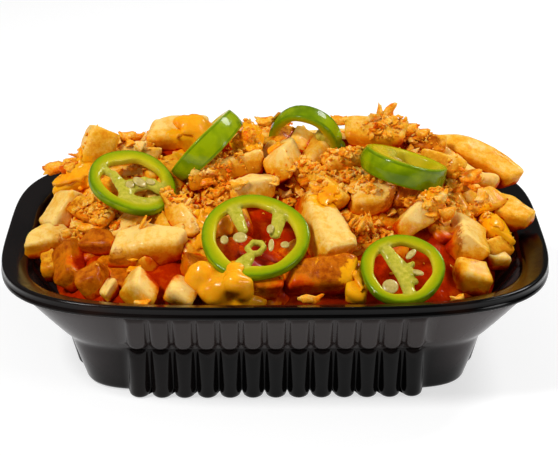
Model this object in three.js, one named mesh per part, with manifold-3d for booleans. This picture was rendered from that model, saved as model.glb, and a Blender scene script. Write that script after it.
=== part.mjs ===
// A takeaway tray of loaded fries: a ribbed black plastic tray, a heap of thick-cut fries
// with cheese sauce and crisp crumbs fused on, and six slices of green pepper.
// Millimetres, +Z up, +X along the tray, front towards -Y, origin under the middle of the tray.
import * as THREE from 'three';
import { ParametricGeometry } from 'three/addons/geometries/ParametricGeometry.js';
import { mergeVertices } from 'three/addons/utils/BufferGeometryUtils.js';
import Module from 'manifold-3d';

// Driving dimensions of the tray
const trayLength = 190;
const trayWidth = 146;
const trayHeight = 42;
const lipHeight = 4.4;
const lipThickness = 1.5;
const wallThickness = 1.2;
const ribPitch = 7.75;
const frontRibs = 13;
const sideRibs = 7;

// Driving dimensions of the food
const clearance = 0.4;
const rimLevel = 38;
const heapRise = 37;
const heapPeakY = 18;
const heapHalfLength = 88;
const frontRun = 82;
const backRun = 48;
const coreDepth = 6;
const coreFloor = 6;
const fryWidth = 10.5;
const fryBluntness = 0.55;
const endTaper = 0.82;
const goldenAngle = Math.PI * (3 - Math.sqrt(5));

const halfLength = trayLength / 2;
const halfWidth = trayWidth / 2;
const lipUnderside = trayHeight - lipHeight;

const wasm = await Module();
wasm.setup();

// Fraction between 0 and 1 that is the same for the same number every time
function scatter(n, step = 0.618034) {
  const value = n * step + 0.37;
  return value - Math.floor(value);
}

// Solid from a closed geometry
function solidFrom(geometry) {
  const bare = geometry.clone();
  bare.deleteAttribute('normal');
  bare.deleteAttribute('uv');
  const merged = mergeVertices(bare, 1e-4);
  const source = merged.index.array;
  const corners = [];
  for (let i = 0; i < source.length; i += 3) {
    const [a, b, c] = [source[i], source[i + 1], source[i + 2]];
    if (a !== b && b !== c && c !== a) corners.push(a, b, c);
  }
  const mesh = new wasm.Mesh({
    numProp: 3,
    vertProperties: new Float32Array(merged.attributes.position.array),
    triVerts: new Uint32Array(corners),
  });
  mesh.merge();
  return new wasm.Manifold(mesh);
}

// Geometry from the largest piece of a solid, with loose scraps and sealed hollows left out
function geometryFrom(solid) {
  const pieces = solid.decompose();
  pieces.sort((a, b) => b.volume() - a.volume());
  const mesh = pieces[0].getMesh();
  const geometry = new THREE.BufferGeometry();
  geometry.setAttribute('position', new THREE.BufferAttribute(new Float32Array(mesh.vertProperties), 3));
  geometry.setIndex(new THREE.BufferAttribute(new Uint32Array(mesh.triVerts), 1));
  geometry.computeVertexNormals();
  return geometry;
}

// Closed loft through rows of points, with a point on the axis closing each end
function loft(rows, columns) {
  const first = rows[0](0);
  const last = rows[rows.length - 1](0);
  const ends = [new THREE.Vector3(0, 0, first.z), new THREE.Vector3(0, 0, last.z)];
  const stacks = rows.length + 1;
  const geometry = new ParametricGeometry((u, v, target) => {
    const column = Math.round(u * columns) % columns;
    const row = Math.round(v * stacks);
    if (row === 0) target.copy(ends[0]);
    else if (row === stacks) target.copy(ends[1]);
    else target.copy(rows[row - 1](column));
  }, columns, stacks);
  return solidFrom(geometry);
}

// Depth of a superellipse at x, for half sizes a and b and squareness n
function depthAt(x, a, b, n) {
  return b * (1 - Math.min(1, Math.abs(x / a)) ** n) ** (1 / n);
}

// Point of a superellipse at a fraction of the way round
function roundPoint(fraction, level) {
  const angle = fraction * 2 * Math.PI;
  const [c, s] = [Math.cos(angle), Math.sin(angle)];
  const x = level.a * Math.sign(c) * Math.abs(c) ** (2 / level.n);
  const y = level.b * Math.sign(s) * Math.abs(s) ** (2 / level.n);
  return new THREE.Vector3(x, y, level.z);
}

// Places round the ribbed wall: both edges of each rib, each groove, and steps round each corner
const cornerSteps = 5;
const ribEdges = [0.3, 0.5, 0.7];

function halfSide(kind, ribs) {
  const places = [];
  for (let rib = 0; rib <= (ribs - 1) / 2; rib += 1) {
    ribEdges.forEach((edge) => {
      places.push({ kind, at: (rib + edge) * ribPitch, onRib: edge === 0.5 ? 0 : 1 });
    });
  }
  places.pop();
  return places;
}

function wallPlaces() {
  const corner = [];
  for (let i = 1; i < cornerSteps; i += 1) corner.push({ kind: 'corner', at: i / cornerSteps, onRib: 0 });
  const quarterRun = [...halfSide('long', frontRibs), ...corner, ...halfSide('short', sideRibs).reverse()];
  const backwards = [...quarterRun].reverse();
  const quadrants = [[1, -1, quarterRun], [1, 1, backwards], [-1, 1, quarterRun], [-1, -1, backwards]];
  return quadrants.flatMap(([sx, sy, run]) => run.map((place) => ({ ...place, sx, sy })));
}

// Point of the ribbed wall at one place and level
function wallPoint(place, level) {
  const { a, b, n, z } = level;
  const longEnd = (frontRibs * ribPitch) / 2;
  const shortEnd = (sideRibs * ribPitch) / 2;
  let x;
  let y;
  if (place.kind === 'long') {
    x = place.at;
    y = depthAt(x, a, b, n) + (level.longRib ?? 0) * place.onRib;
  } else if (place.kind === 'short') {
    y = place.at;
    x = depthAt(y, b, a, n) + (level.shortRib ?? 0) * place.onRib;
  } else {
    const start = Math.atan2((depthAt(longEnd, a, b, n) / b) ** (n / 2), (longEnd / a) ** (n / 2));
    const finish = Math.atan2((shortEnd / b) ** (n / 2), (depthAt(shortEnd, b, a, n) / a) ** (n / 2));
    const angle = start + (finish - start) * place.at;
    x = a * Math.cos(angle) ** (2 / n);
    y = b * Math.sin(angle) ** (2 / n);
  }
  return new THREE.Vector3(place.sx * x, place.sy * y, z);
}

// Outside of the tray: rib feet, steep lower wall, kink, flared upper wall, turned-down lip
function trayOutside() {
  const levels = [
    { z: 0, a: 65, b: 46.9, n: 7, longRib: 5.4, shortRib: 3 },
    { z: 1.4, a: 66.6, b: 48.5, n: 7, longRib: 6, shortRib: 2.4 },
    { z: 16.5, a: 71.6, b: 53.3, n: 6.2, longRib: 3, shortRib: 2 },
    { z: 18.4, a: 72.5, b: 54.1, n: 6, longRib: 1.6, shortRib: 1.2 },
    { z: 20.4, a: 74.8, b: 55.6, n: 5.9, longRib: 2.4, shortRib: 1.8 },
    { z: 35.4, a: 88.2, b: 66.2, n: 4.9, longRib: 1.5, shortRib: 1.2 },
    { z: lipUnderside - 0.4, a: 89.4, b: 67.4, n: 4.7 },
    { z: lipUnderside + 2.4, a: halfLength - lipThickness - 0.3, b: halfWidth - lipThickness - 0.3, n: 3.8 },
    { z: lipUnderside, a: halfLength - lipThickness, b: halfWidth - lipThickness, n: 3.8 },
    { z: lipUnderside, a: halfLength, b: halfWidth, n: 3.8 },
    { z: trayHeight - 1, a: halfLength, b: halfWidth, n: 3.8 },
    { z: trayHeight, a: halfLength - 0.9, b: halfWidth - 0.9, n: 3.8 },
  ];
  const places = wallPlaces();
  const rows = levels.map((level) => (column) => wallPoint(places[column], level));
  return loft(rows, places.length);
}

// Levels of the smooth hollow, each drawn in by a gap
function hollowLevels(gap) {
  return [
    { z: wallThickness + 0.2 + gap, a: 63.2 - gap, b: 45.1 - gap, n: 7 },
    { z: 3.2 + gap, a: 65.3 - gap, b: 47.2 - gap, n: 7 },
    { z: 18.8 + gap, a: 70.4 - gap, b: 52.8 - gap, n: 6 },
    { z: 21.2 + gap, a: 72.2 - gap, b: 54.4 - gap, n: 5.7 },
    { z: rimLevel + gap, a: 85.6 - gap, b: 64.6 - gap, n: 4.3 },
    { z: rimLevel + 1.6 + gap, a: 86.8 - gap, b: 65.6 - gap, n: 4.2 },
    { z: trayHeight - 0.5 + gap, a: 92.4 - gap, b: 70.4 - gap, n: 3.8 },
    { z: trayHeight + gap, a: halfLength - 1.7, b: halfWidth - 1.7, n: 3.8 },
  ];
}

function hollow(gap, top) {
  const columns = 48;
  const levels = [...hollowLevels(gap), ...top];
  const rows = levels.map((level) => (column) => roundPoint(column / columns, level));
  return loft(rows, columns);
}

function tray() {
  const top = [{ z: trayHeight + 2, a: halfLength - 1.7, b: halfWidth - 1.7, n: 3.8 }];
  return trayOutside().subtract(hollow(0, top));
}

// Space that food may fill: the hollow less a small gap, and everything over the rim
function roomForFood() {
  const over = { a: trayLength * 0.7, b: trayWidth * 0.75, n: 2 };
  const top = [
    { ...over, z: trayHeight + clearance + 0.1 },
    { ...over, z: trayHeight * 3 },
  ];
  return hollow(clearance, top);
}

// Height of the heap as it shows, over a place in the tray
function heapTop(x, y) {
  const run = y < heapPeakY ? frontRun : backRun;
  const power = y < heapPeakY ? 1.25 : 1.42;
  const drop = Math.abs(x / heapHalfLength) ** 6 + (Math.abs(y - heapPeakY) / run) ** power;
  return rimLevel + heapRise * (1 - drop);
}

// Smooth core of the heap, a little below the fries that show
function heapCore() {
  const columns = 28;
  const outline = { a: 84, b: 63, n: 4, z: 0 };
  const spans = [1, 0.93, 0.8, 0.62, 0.42, 0.2];
  const base = (column) => roundPoint(column / columns, outline);
  const rows = spans.map((span) => (column) => {
    const point = roundPoint(column / columns, outline).multiplyScalar(span);
    point.z = Math.max(coreFloor, heapTop(point.x, point.y) - coreDepth);
    return point;
  });
  const crown = () => new THREE.Vector3(0, 0, heapTop(0, 0) - coreDepth);
  return loft([base, ...rows, crown], columns);
}

// A thick-cut fry between the middles of its two ends, square in section, with blunt edges if shown
function fry({ from, to, width = fryWidth }, index, sides) {
  const start = new THREE.Vector3(...from);
  const along = new THREE.Vector3(...to).sub(start);
  const length = along.length();
  const half = width / 2;
  const blunt = half * fryBluntness;
  const edged = [
    [half, -blunt], [half, blunt], [blunt, half], [-blunt, half],
    [-half, blunt], [-half, -blunt], [-blunt, -half], [blunt, -half],
  ];
  const square = [[half, -half], [half, half], [-half, half], [-half, -half]];
  const section = sides === 8 ? edged : square;
  const bow = (scatter(index) - 0.5) * width * 0.2;
  const fullness = 0.94 + 0.1 * scatter(index, 0.7548777);
  const stations = [
    { z: 0, scale: endTaper, shift: 0 },
    { z: width * 0.16, scale: fullness, shift: bow },
    { z: length - width * 0.16, scale: 1, shift: bow },
    { z: length, scale: endTaper, shift: 0 },
  ];
  const rows = stations.map(({ z, scale, shift }) => (column) => {
    const [x, y] = section[column];
    return new THREE.Vector3(x * scale + shift, y * scale + shift, z);
  });
  const turn = new THREE.Quaternion().setFromUnitVectors(new THREE.Vector3(0, 0, 1), along.normalize());
  const rollAngle = scatter(index, 0.324718) * 0.9;
  const roll = new THREE.Quaternion().setFromAxisAngle(new THREE.Vector3(0, 0, 1), rollAngle);
  const place = new THREE.Matrix4().compose(start, turn.multiply(roll), new THREE.Vector3(1, 1, 1));
  return loft(rows, section.length).transform(place.elements);
}

// Fries that show from the front, from one end to the other
const shownFries = [
  { from: [-67.5, 8, 56], to: [-60.5, 9, 74.5] },
  { from: [-78, -13, 43.5], to: [-69.5, -3, 54], width: 12.5 },
  { from: [-77, 10, 51], to: [-61, 3, 60] },
  { from: [-87, -20, 42], to: [-71, -17, 43.5], width: 9.5 },
  { from: [-78.5, -21, 40.5], to: [-77.5, -31, 32.5], width: 6 },
  { from: [-71.5, -24, 44], to: [-69.5, -41, 37], width: 9 },
  { from: [-65.5, -27, 46.5], to: [-54, -30, 47.5], width: 9 },
  { from: [-62, -38, 41], to: [-61, -49, 37.5], width: 9.5 },
  { from: [-57.5, -53, 36.5], to: [-54, -46, 39.5], width: 5.5 },
  { from: [-56, -35.5, 47], to: [-30.5, -37.5, 50.3], width: 13 },
  { from: [-46.5, -57, 38], to: [-44.5, -45, 40.5] },
  { from: [-33, -58.5, 37.5], to: [-31, -48, 38.5], width: 9 },
  { from: [-39, -15, 60.5], to: [-27, -30, 49.5], width: 9 },
  { from: [-46, 17, 69.3], to: [-25, 18, 69.5], width: 11.5 },
  { from: [-56, 11, 64], to: [-40, 7, 65], width: 9 },
  { from: [-30, -8, 62.5], to: [-4, 2, 66.5], width: 8 },
  { from: [-11, 4, 67], to: [-9, 11, 75], width: 9 },
  { from: [3, -7, 66], to: [8, 10, 65], width: 11 },
  { from: [-15, -15, 60], to: [0, -9, 61], width: 9 },
  { from: [12, -11, 61], to: [22, -42, 49], width: 10 },
  { from: [3, -50, 42], to: [26, -48, 43], width: 11 },
  { from: [26.5, -58, 38], to: [28, -42, 45], width: 6.5 },
  { from: [26, -17, 58], to: [41, -17, 58], width: 11 },
  { from: [40, -13, 58], to: [55, -15, 57], width: 11 },
  { from: [42, -31, 51], to: [58, -16, 57] },
  { from: [65.3, -33.5, 48.5], to: [64.3, -15, 50], width: 11.5 },
  { from: [78, -18, 45], to: [74, -2, 48], width: 10 },
  { from: [79, 7, 48], to: [65, -7, 53], width: 9.5 },
  { from: [79.5, 10, 53.5], to: [70, 14, 53.5], width: 6.5 },
  { from: [90.5, -5, 45.5], to: [76.5, 3, 46], width: 11.5 },
  { from: [81, -17, 41], to: [69, -28, 42.3], width: 9 },
  { from: [67, -46.5, 38], to: [64.3, -36, 42] },
  { from: [80, -28, 35], to: [74, -20, 38.3], width: 8.5 },
  { from: [55, 24, 64.5], to: [73, 23.4, 59.4] },
  { from: [71, 23, 59.8], to: [86.5, 14, 53] },
  { from: [26, 18, 70], to: [46, 17, 68] },
  { from: [51, 20, 66.5], to: [61, 18, 65], width: 8.5 },
  { from: [10, -3, 64], to: [23, -20, 57], width: 9 },
  { from: [19, 0, 62.5], to: [34, 6, 64], width: 9 },
  { from: [52, 8, 64], to: [66, 4, 60], width: 9 },
  { from: [-69, -10, 53], to: [-57, -20, 51], width: 9 },
  { from: [-28, -40, 44.5], to: [-23, -49, 42], width: 7.5 },
  { from: [-14, -53, 41], to: [2, -52, 41], width: 9 },
];

// Fries on the back slope and between the others, spread by a fixed rule
function spreadFries() {
  const fries = [];
  const rows = [
    { y: 34, count: 7 },
    { y: 46, count: 7 },
    { y: 57, count: 6 },
  ];
  rows.forEach(({ y, count }, row) => {
    for (let i = 0; i < count; i += 1) {
      const seed = row * 11 + i;
      const x = ((i + 0.5) / count - 0.5) * (150 - row * 8) + (scatter(seed) - 0.5) * 8;
      const heading = (scatter(seed, 0.7548777) - 0.5) * 1.9;
      const reach = 10 + 6 * scatter(seed, 0.5698403);
      const ends = [-1, 1].map((side) => {
        const ex = x + side * reach * Math.cos(heading);
        const ey = Math.min(60, y + side * reach * Math.sin(heading) * 0.6);
        return [ex, ey, heapTop(ex, ey) - coreDepth];
      });
      fries.push({ from: ends[0], to: ends[1], width: fryWidth * (0.85 + 0.25 * scatter(seed, 0.4301597)) });
    }
  });
  return fries;
}

// Thick cheese sauce that lies over the fries as squashed drops
const cheeseDrops = [
  { at: [-15, -58, 41.5], size: [10, 8, 4.5] },
  { at: [-7, -61, 39.5], size: [7, 5, 3] },
  { at: [-26, -26, 58], size: [7, 6, 5] },
  { at: [-9, 3, 73], size: [9, 6, 4] },
  { at: [-71, 8, 60], size: [7, 6, 4] },
  { at: [54, -22, 60], size: [6, 5, 4] },
  { at: [77, -12, 51], size: [5, 6, 3.5] },
];

// A squashed drop of sauce, or a lump of crumb, with few faces
function lump(at, size, detail, spin) {
  const geometry = new THREE.IcosahedronGeometry(1, detail);
  geometry.scale(...size);
  geometry.rotateX(spin * 0.6);
  geometry.rotateZ(spin * 5);
  geometry.translate(...at);
  return solidFrom(geometry);
}

// Crisp flakes that stand up from the heap where they break its outline
const flakes = [
  { at: [40, 18, 77], size: [3.6, 1.8, 5.2] },
  { at: [-54, 10, 71.5], size: [4.6, 2.4, 3] },
  { at: [-78, 24, 53.5], size: [5, 3, 3] },
  { at: [48, 18, 72], size: [5, 3, 2.6] },
  { at: [25, 20, 75.5], size: [5, 3, 2.4] },
  { at: [-2, 20, 75.5], size: [5, 4, 3] },
  { at: [-60, -22, 55.5], size: [4.5, 3, 2.5] },
  { at: [-44, -34, 55], size: [4, 3, 2.5] },
  { at: [30, -30, 56], size: [4, 3, 3] },
  { at: [69, 4, 60.5], size: [5, 4, 2.6] },
];

// Small crumbs in drifts over the top, spread by a fixed rule
function crumbs() {
  const drifts = [
    { x: -24, y: -14, rx: 14, ry: 9, count: 6 },
    { x: 24, y: 4, rx: 16, ry: 10, count: 6 },
    { x: -66, y: -16, rx: 9, ry: 9, count: 4 },
    { x: 62, y: -4, rx: 12, ry: 9, count: 5 },
    { x: 34, y: -28, rx: 9, ry: 8, count: 3 },
    { x: 0, y: 38, rx: 60, ry: 14, count: 6 },
  ];
  const lumps = [];
  drifts.forEach((drift, d) => {
    for (let i = 0; i < drift.count; i += 1) {
      const seed = d * 17 + i;
      const reach = Math.sqrt((i + 0.5) / drift.count);
      const angle = i * goldenAngle;
      const x = drift.x + drift.rx * reach * Math.cos(angle);
      const y = drift.y + drift.ry * reach * Math.sin(angle);
      const size = 1.8 + 1.3 * scatter(seed);
      lumps.push(lump([x, y, heapTop(x, y) - 0.6], [size * 1.3, size, size * 0.8], 0, seed));
    }
  });
  return lumps;
}

// Slices of green pepper: the middle, the way the cut face looks, and what the hollow holds.
// A split hollow has cells either side of ribs; a single one has stubs at [angle, inward reach].
// Seeds are [x, y, radius] in the plane of the slice. A wedge makes the slice thinner towards its ends.
const slices = [
  { name: 'pepper_ring_left', at: [-49.4, -12.2, 62.95], face: [0.26, -0.35, 0.9], radius: 15.2,
    thickness: 3.2, wall: 4, cells: 3, turn: 1.3, seeds: [[1.8, 0.4, 2.1], [-3.4, 1.6, 1.9]] },
  { name: 'pepper_ring_edge', at: [-24.5, 6, 69.4], face: [-0.7, 0.19, 0.69], radius: 15.2, thickness: 8.6,
    wall: 3.8, cells: 2, turn: 0.2, wedge: [0.13, 0.3], seeds: [] },
  { name: 'pepper_ring_back', at: [11.5, 18, 68.5], face: [-0.3, -0.86, -0.4], radius: 13, thickness: 6.5,
    wall: 3.4, stubs: [[0.5, 0.5], [4.2, 0.55]], turn: 0.9, seeds: [] },
  { name: 'pepper_ring_centre', at: [-7, -41.2, 54.05], face: [0, -0.46, 0.89], radius: 18, thickness: 3.2,
    wall: 4.4, stubs: [[0.91, 0.4], [1.95, 0.3], [4.39, 0.4]], turn: 0,
    seeds: [[-3.4, 1.4, 2.8], [-12, -0.6, 2.8]] },
  { name: 'pepper_ring_right', at: [45, -6.6, 66], face: [0.276, 0.147, 0.95], radius: 14.8, thickness: 8,
    wall: 3.4, cells: 2, turn: 3.14, seeds: [] },
  { name: 'pepper_ring_front', at: [42, -52.75, 46.85], face: [0, -0.52, 0.85], radius: 13.8, thickness: 3.4,
    wall: 3.8, cells: 2, turn: 0.31, seeds: [[2.2, 3, 2.2], [3.4, -1.8, 2.2], [-3.2, -6.8, 2.6]] },
];
const ribWidth = 3.2;
const lobeDepth = 0.02;

// Outline of a slice, round with three faint lobes
function sliceShape(radius, turn) {
  const points = [];
  const steps = 28;
  for (let i = 0; i < steps; i += 1) {
    const angle = (i / steps) * 2 * Math.PI;
    const r = radius * (1 + lobeDepth * Math.cos(3 * (angle - turn)));
    points.push(new THREE.Vector2(r * Math.cos(angle), r * Math.sin(angle)));
  }
  return points;
}

// One hollow cell of a slice, the part of the inner disc between two ribs
function cellShape(slice, index) {
  const inner = slice.radius - slice.wall;
  const span = (2 * Math.PI) / slice.cells;
  const middle = slice.turn + span * index;
  const steps = Math.round(20 / slice.cells);
  const inset = ribWidth / 2 / inner;
  const tip = ribWidth * 0.7;
  const points = [new THREE.Vector2(tip * Math.cos(middle), tip * Math.sin(middle))];
  for (let i = 0; i <= steps; i += 1) {
    const angle = middle - span / 2 + inset + ((span - 2 * inset) * i) / steps;
    points.push(new THREE.Vector2(inner * Math.cos(angle), inner * Math.sin(angle)));
  }
  return points;
}

// Single wide hollow of a slice, with stubs of rib reaching in
function openShape(slice) {
  const inner = slice.radius - slice.wall;
  const halfStub = ribWidth * 0.7 / inner;
  const points = [];
  const steps = 36;
  for (let i = 0; i < steps; i += 1) {
    const angle = (i / steps) * 2 * Math.PI;
    const stub = slice.stubs.find(([at]) => Math.abs(angle - at) < halfStub);
    const r = stub ? inner * stub[1] : inner;
    points.push(new THREE.Vector2(r * Math.cos(angle), r * Math.sin(angle)));
  }
  return points;
}

function extrude(points, thickness) {
  const options = { depth: thickness, bevelEnabled: false, steps: 1 };
  const geometry = new THREE.ExtrudeGeometry(new THREE.Shape(points), options);
  geometry.translate(0, 0, -thickness / 2);
  return solidFrom(geometry);
}

function sliceSolid(slice) {
  const hollows = slice.stubs ? [openShape(slice)] : [];
  for (let i = 0; i < (slice.cells ?? 0); i += 1) hollows.push(cellShape(slice, i));
  let solid = extrude(sliceShape(slice.radius, slice.turn), slice.thickness);
  hollows.forEach((points) => {
    solid = solid.subtract(extrude(points, slice.thickness + 2));
  });
  slice.seeds.forEach(([x, y, r], index) => {
    solid = solid.add(lump([x, y, 0], [r, r * 0.8, slice.thickness * 0.4], 0, index * 0.15));
  });
  if (!slice.wedge) return solid;
  return solid.warp((point) => {
    const reach = point[0] / slice.radius;
    point[2] *= 1 + slice.wedge[0] * reach - slice.wedge[1] * reach ** 2;
  });
}

function sliceMatrix({ at, face }) {
  const normal = new THREE.Vector3(...face).normalize();
  const turn = new THREE.Quaternion().setFromUnitVectors(new THREE.Vector3(0, 0, 1), normal);
  return new THREE.Matrix4().compose(new THREE.Vector3(...at), turn, new THREE.Vector3(1, 1, 1));
}

// Bed cut out of the heap under a slice, a little larger than the slice
function sliceBed(slice) {
  const points = sliceShape(slice.radius + clearance, slice.turn);
  return extrude(points, slice.thickness + 2 * clearance).transform(sliceMatrix(slice).elements);
}

function heap() {
  const pieces = [heapCore()];
  shownFries.forEach((entry, index) => pieces.push(fry(entry, index, 8)));
  spreadFries().forEach((entry, index) => pieces.push(fry(entry, index, 4)));
  cheeseDrops.forEach(({ at, size }, index) => pieces.push(lump(at, size, 1, index * 0.2)));
  flakes.forEach(({ at, size }, index) => pieces.push(lump(at, size, 0, index * 0.7)));
  pieces.push(...crumbs());
  let solid = wasm.Manifold.union(pieces).intersect(roomForFood());
  slices.forEach((slice) => {
    solid = solid.subtract(sliceBed(slice));
  });
  return solid;
}

const blackPlastic = new THREE.MeshStandardMaterial({ color: 0x161313, roughness: 0.25, metalness: 0 });
const friedPotato = new THREE.MeshStandardMaterial({ color: 0xe6b455, roughness: 0.55, metalness: 0 });
const greenPepper = new THREE.MeshStandardMaterial({ color: 0x6d9d1c, roughness: 0.3, metalness: 0 });

function named(name, solid, material) {
  const mesh = new THREE.Mesh(geometryFrom(solid), material);
  mesh.name = name;
  return mesh;
}

const group = new THREE.Group();
group.add(named('tray', tray(), blackPlastic));
group.add(named('fries', heap(), friedPotato));
slices.forEach((slice) => {
  const mesh = named(slice.name, sliceSolid(slice), greenPepper);
  mesh.applyMatrix4(sliceMatrix(slice));
  group.add(mesh);
});

export default group;
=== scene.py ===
# Loaded fries in a ribbed black takeaway tray.
# Everything is laid out in millimetres and scaled to metres when a mesh is made.
import math
import bmesh
import bpy
import numpy as np
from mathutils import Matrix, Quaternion, Vector
from mathutils.bvhtree import BVHTree


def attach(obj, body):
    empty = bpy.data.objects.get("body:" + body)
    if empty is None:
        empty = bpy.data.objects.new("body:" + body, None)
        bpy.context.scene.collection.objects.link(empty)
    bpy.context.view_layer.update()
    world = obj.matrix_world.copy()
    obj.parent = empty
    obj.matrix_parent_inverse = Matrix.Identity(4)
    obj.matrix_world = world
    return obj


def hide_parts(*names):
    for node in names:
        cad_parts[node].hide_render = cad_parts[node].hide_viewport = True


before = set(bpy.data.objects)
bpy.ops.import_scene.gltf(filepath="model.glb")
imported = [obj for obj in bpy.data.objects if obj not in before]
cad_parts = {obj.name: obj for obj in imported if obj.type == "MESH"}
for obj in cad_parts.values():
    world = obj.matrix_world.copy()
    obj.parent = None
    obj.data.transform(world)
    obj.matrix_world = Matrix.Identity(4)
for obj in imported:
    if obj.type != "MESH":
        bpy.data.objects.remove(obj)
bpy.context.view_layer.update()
scene = bpy.context.scene
scene.view_settings.view_transform = "Standard"
mm = 0.001
print("frame loaded")


# Small tools for shapes

def blobNoise(points, size, seed=0):  # smooth values from -1 to 1, blobs about size mm wide
    scaled = np.asarray(points, float) / size + seed * 3.71
    cell = np.floor(scaled).astype(np.int64)
    part = scaled - cell
    part = part * part * (3 - 2 * part)
    total = np.zeros(len(scaled))
    for corner in np.ndindex(2, 2, 2):
        c = cell + corner  # large primes give each corner its own value
        mixed = (c[:, 0] * 73856093) ^ (c[:, 1] * 19349663) ^ (c[:, 2] * 83492791) ^ (seed * 2654435)
        mixed = ((mixed ^ (mixed >> 13)) * 1274126177) & 0x7FFFFFFF
        weight = np.prod(np.where(np.array(corner, bool), part, 1 - part), axis=1)
        total += weight * ((mixed >> 8) % 65536 / 32767.5 - 1)
    return total


def step(low, high, values):  # smooth step from 0 to 1
    t = np.clip((values - low) / (high - low), 0, 1)
    return t * t * (3 - 2 * t)


def unit(vector):
    vector = np.asarray(vector, float)
    return vector / np.linalg.norm(vector)


def ballShape(level):  # points and triangles of a ball
    form = bmesh.new()
    bmesh.ops.create_icosphere(form, subdivisions=level, radius=1)
    points = np.array([v.co[:] for v in form.verts])
    faces = np.array([[v.index for v in f.verts] for f in form.faces])
    form.free()
    return points, faces


ball, ballFaces = ballShape(2)


def gridFaces(rows, columns):  # quads between rows of points that go all round
    faces = []
    for row in range(rows - 1):
        for column in range(columns):
            after = (column + 1) % columns
            a, b = row * columns, (row + 1) * columns
            faces.append((a + column, a + after, b + after, b + column))
    return faces


def makePiece(name, points, faces, material, marks=None, replaces=()):
    mesh = bpy.data.meshes.new(name)
    mesh.from_pydata((np.asarray(points) * mm).tolist(), [], [tuple(int(i) for i in f) for f in faces])
    for mark, values in (marks or {}).items():
        layer = mesh.attributes.new(mark, "FLOAT", "POINT")
        layer.data.foreach_set("value", np.asarray(values, np.float32))
    mesh.polygons.foreach_set("use_smooth", [True] * len(mesh.polygons))
    mesh.materials.append(material)
    mesh.update()
    piece = bpy.data.objects.new(name, mesh)
    scene.collection.objects.link(piece)
    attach(piece, "root")
    if replaces:
        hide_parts(*replaces)
    print(name, len(points), "points")
    return piece


class Pile:  # gathers many shapes into one mesh with their marks
    def __init__(self):
        self.points, self.faces, self.marks, self.count = [], [], {}, 0

    def add(self, points, faces, **marks):
        self.points.append(np.asarray(points, float))
        self.faces.extend(tuple(int(i) + self.count for i in f) for f in faces)
        for mark, values in marks.items():
            values = np.broadcast_to(np.asarray(values, float), (len(points),))
            self.marks.setdefault(mark, []).append(values)
        self.count += len(points)

    def piece(self, name, material, slotName, replaces=()):
        marks = {mark: np.concatenate(values) for mark, values in self.marks.items()}
        return makePiece(name, np.concatenate(self.points), self.faces, material, marks, replaces)


def fuse(name, points, faces, voxel, soften):  # one skin over shapes that run into each other
    mesh = bpy.data.meshes.new(name)
    mesh.from_pydata((points * mm).tolist(), [], faces)
    helper = bpy.data.objects.new(name, mesh)
    scene.collection.objects.link(helper)
    remesh = helper.modifiers.new("oneSkin", "REMESH")
    remesh.mode = "VOXEL"
    remesh.voxel_size = voxel * mm
    relax = helper.modifiers.new("relax", "SMOOTH")
    relax.factor, relax.iterations = 0.5, soften
    shown = helper.evaluated_get(bpy.context.evaluated_depsgraph_get())
    result = bpy.data.meshes.new_from_object(shown)
    fused = np.array([v.co[:] for v in result.vertices]) / mm
    fusedFaces = [tuple(f.vertices) for f in result.polygons]
    bpy.data.objects.remove(helper)
    bpy.data.meshes.remove(result)
    return fused, fusedFaces


# Small tools for materials

def plug(tree, node, values):  # links what comes from other nodes and sets the rest
    for socket, value in values.items():
        if isinstance(value, bpy.types.NodeSocket):
            tree.links.new(value, node.inputs[socket])
        else:
            node.inputs[socket].default_value = value


def newMaterial(name, values):
    material = bpy.data.materials.new(name)
    material.use_nodes = True
    tree = material.node_tree
    shader = tree.nodes["Principled BSDF"]
    plug(tree, shader, values)
    return material, tree, shader


def addNode(tree, kind, values=None, **settings):
    node = tree.nodes.new(kind)
    for setting, value in settings.items():
        setattr(node, setting, value)
    plug(tree, node, values or {})
    return node


def place(tree):
    return addNode(tree, "ShaderNodeTexCoord").outputs["Object"]


def speckle(tree, size, detail=3, rough=0.6):  # noise with blobs of that size in mm
    values = {"Vector": place(tree), "Scale": 1 / (size * mm), "Detail": detail, "Roughness": rough}
    return addNode(tree, "ShaderNodeTexNoise", values).outputs["Fac"]


def mark(tree, name):
    return addNode(tree, "ShaderNodeAttribute", attribute_name=name).outputs["Fac"]


def blend(tree, factor, first, second):
    values = {0: factor, 6: first, 7: second}
    return addNode(tree, "ShaderNodeMix", values, data_type="RGBA").outputs[2]


def sharpen(tree, value, low, high, toLow=0.0, toHigh=1.0):
    values = {"Value": value, "From Min": low, "From Max": high, "To Min": toLow, "To Max": toHigh}
    return addNode(tree, "ShaderNodeMapRange", values, interpolation_type="SMOOTHSTEP").outputs["Result"]


def combine(tree, operation, first, second):
    return addNode(tree, "ShaderNodeMath", {0: first, 1: second}, operation=operation).outputs[0]


def times(tree, first, second):
    return combine(tree, "MULTIPLY", first, second)


def plus(tree, first, second):
    return combine(tree, "ADD", first, second)


def ramp(tree, value, stops):
    node = addNode(tree, "ShaderNodeValToRGB", {"Fac": value})
    band = node.color_ramp
    while len(band.elements) < len(stops):
        band.elements.new(0.5)
    for element, (position, colour) in zip(band.elements, stops):
        element.position = position
        element.color = (*colour, 1)
    return node.outputs["Color"]


def bump(tree, shader, height, strength, depth):
    values = {"Height": height, "Strength": strength, "Distance": depth * mm}
    node = addNode(tree, "ShaderNodeBump", values)
    tree.links.new(node.outputs["Normal"], shader.inputs["Normal"])


# Camera, floor and lights

studio = {
    "elevation": 21.913, "azimuth": -0.552, "distance": 721.6, "target": (1.543, 0, 40.81), "lens": 130.38,
    "horizon": 0.03, "zenith": 0.2, "aim": (0, 0, 50), "floorReach": 12, "floorGlow": 0.62,  # reach in m
    "lights": {  # name: place in mm, size in mm, power in watts
        "keySoftbox": ((-480, -360, 700), 220, 5.6),
        "backSoftbox": ((470, 330, 640), 260, 3.4),
        "rightFill": ((700, -420, 380), 300, 1.8),
    },
}


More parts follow.
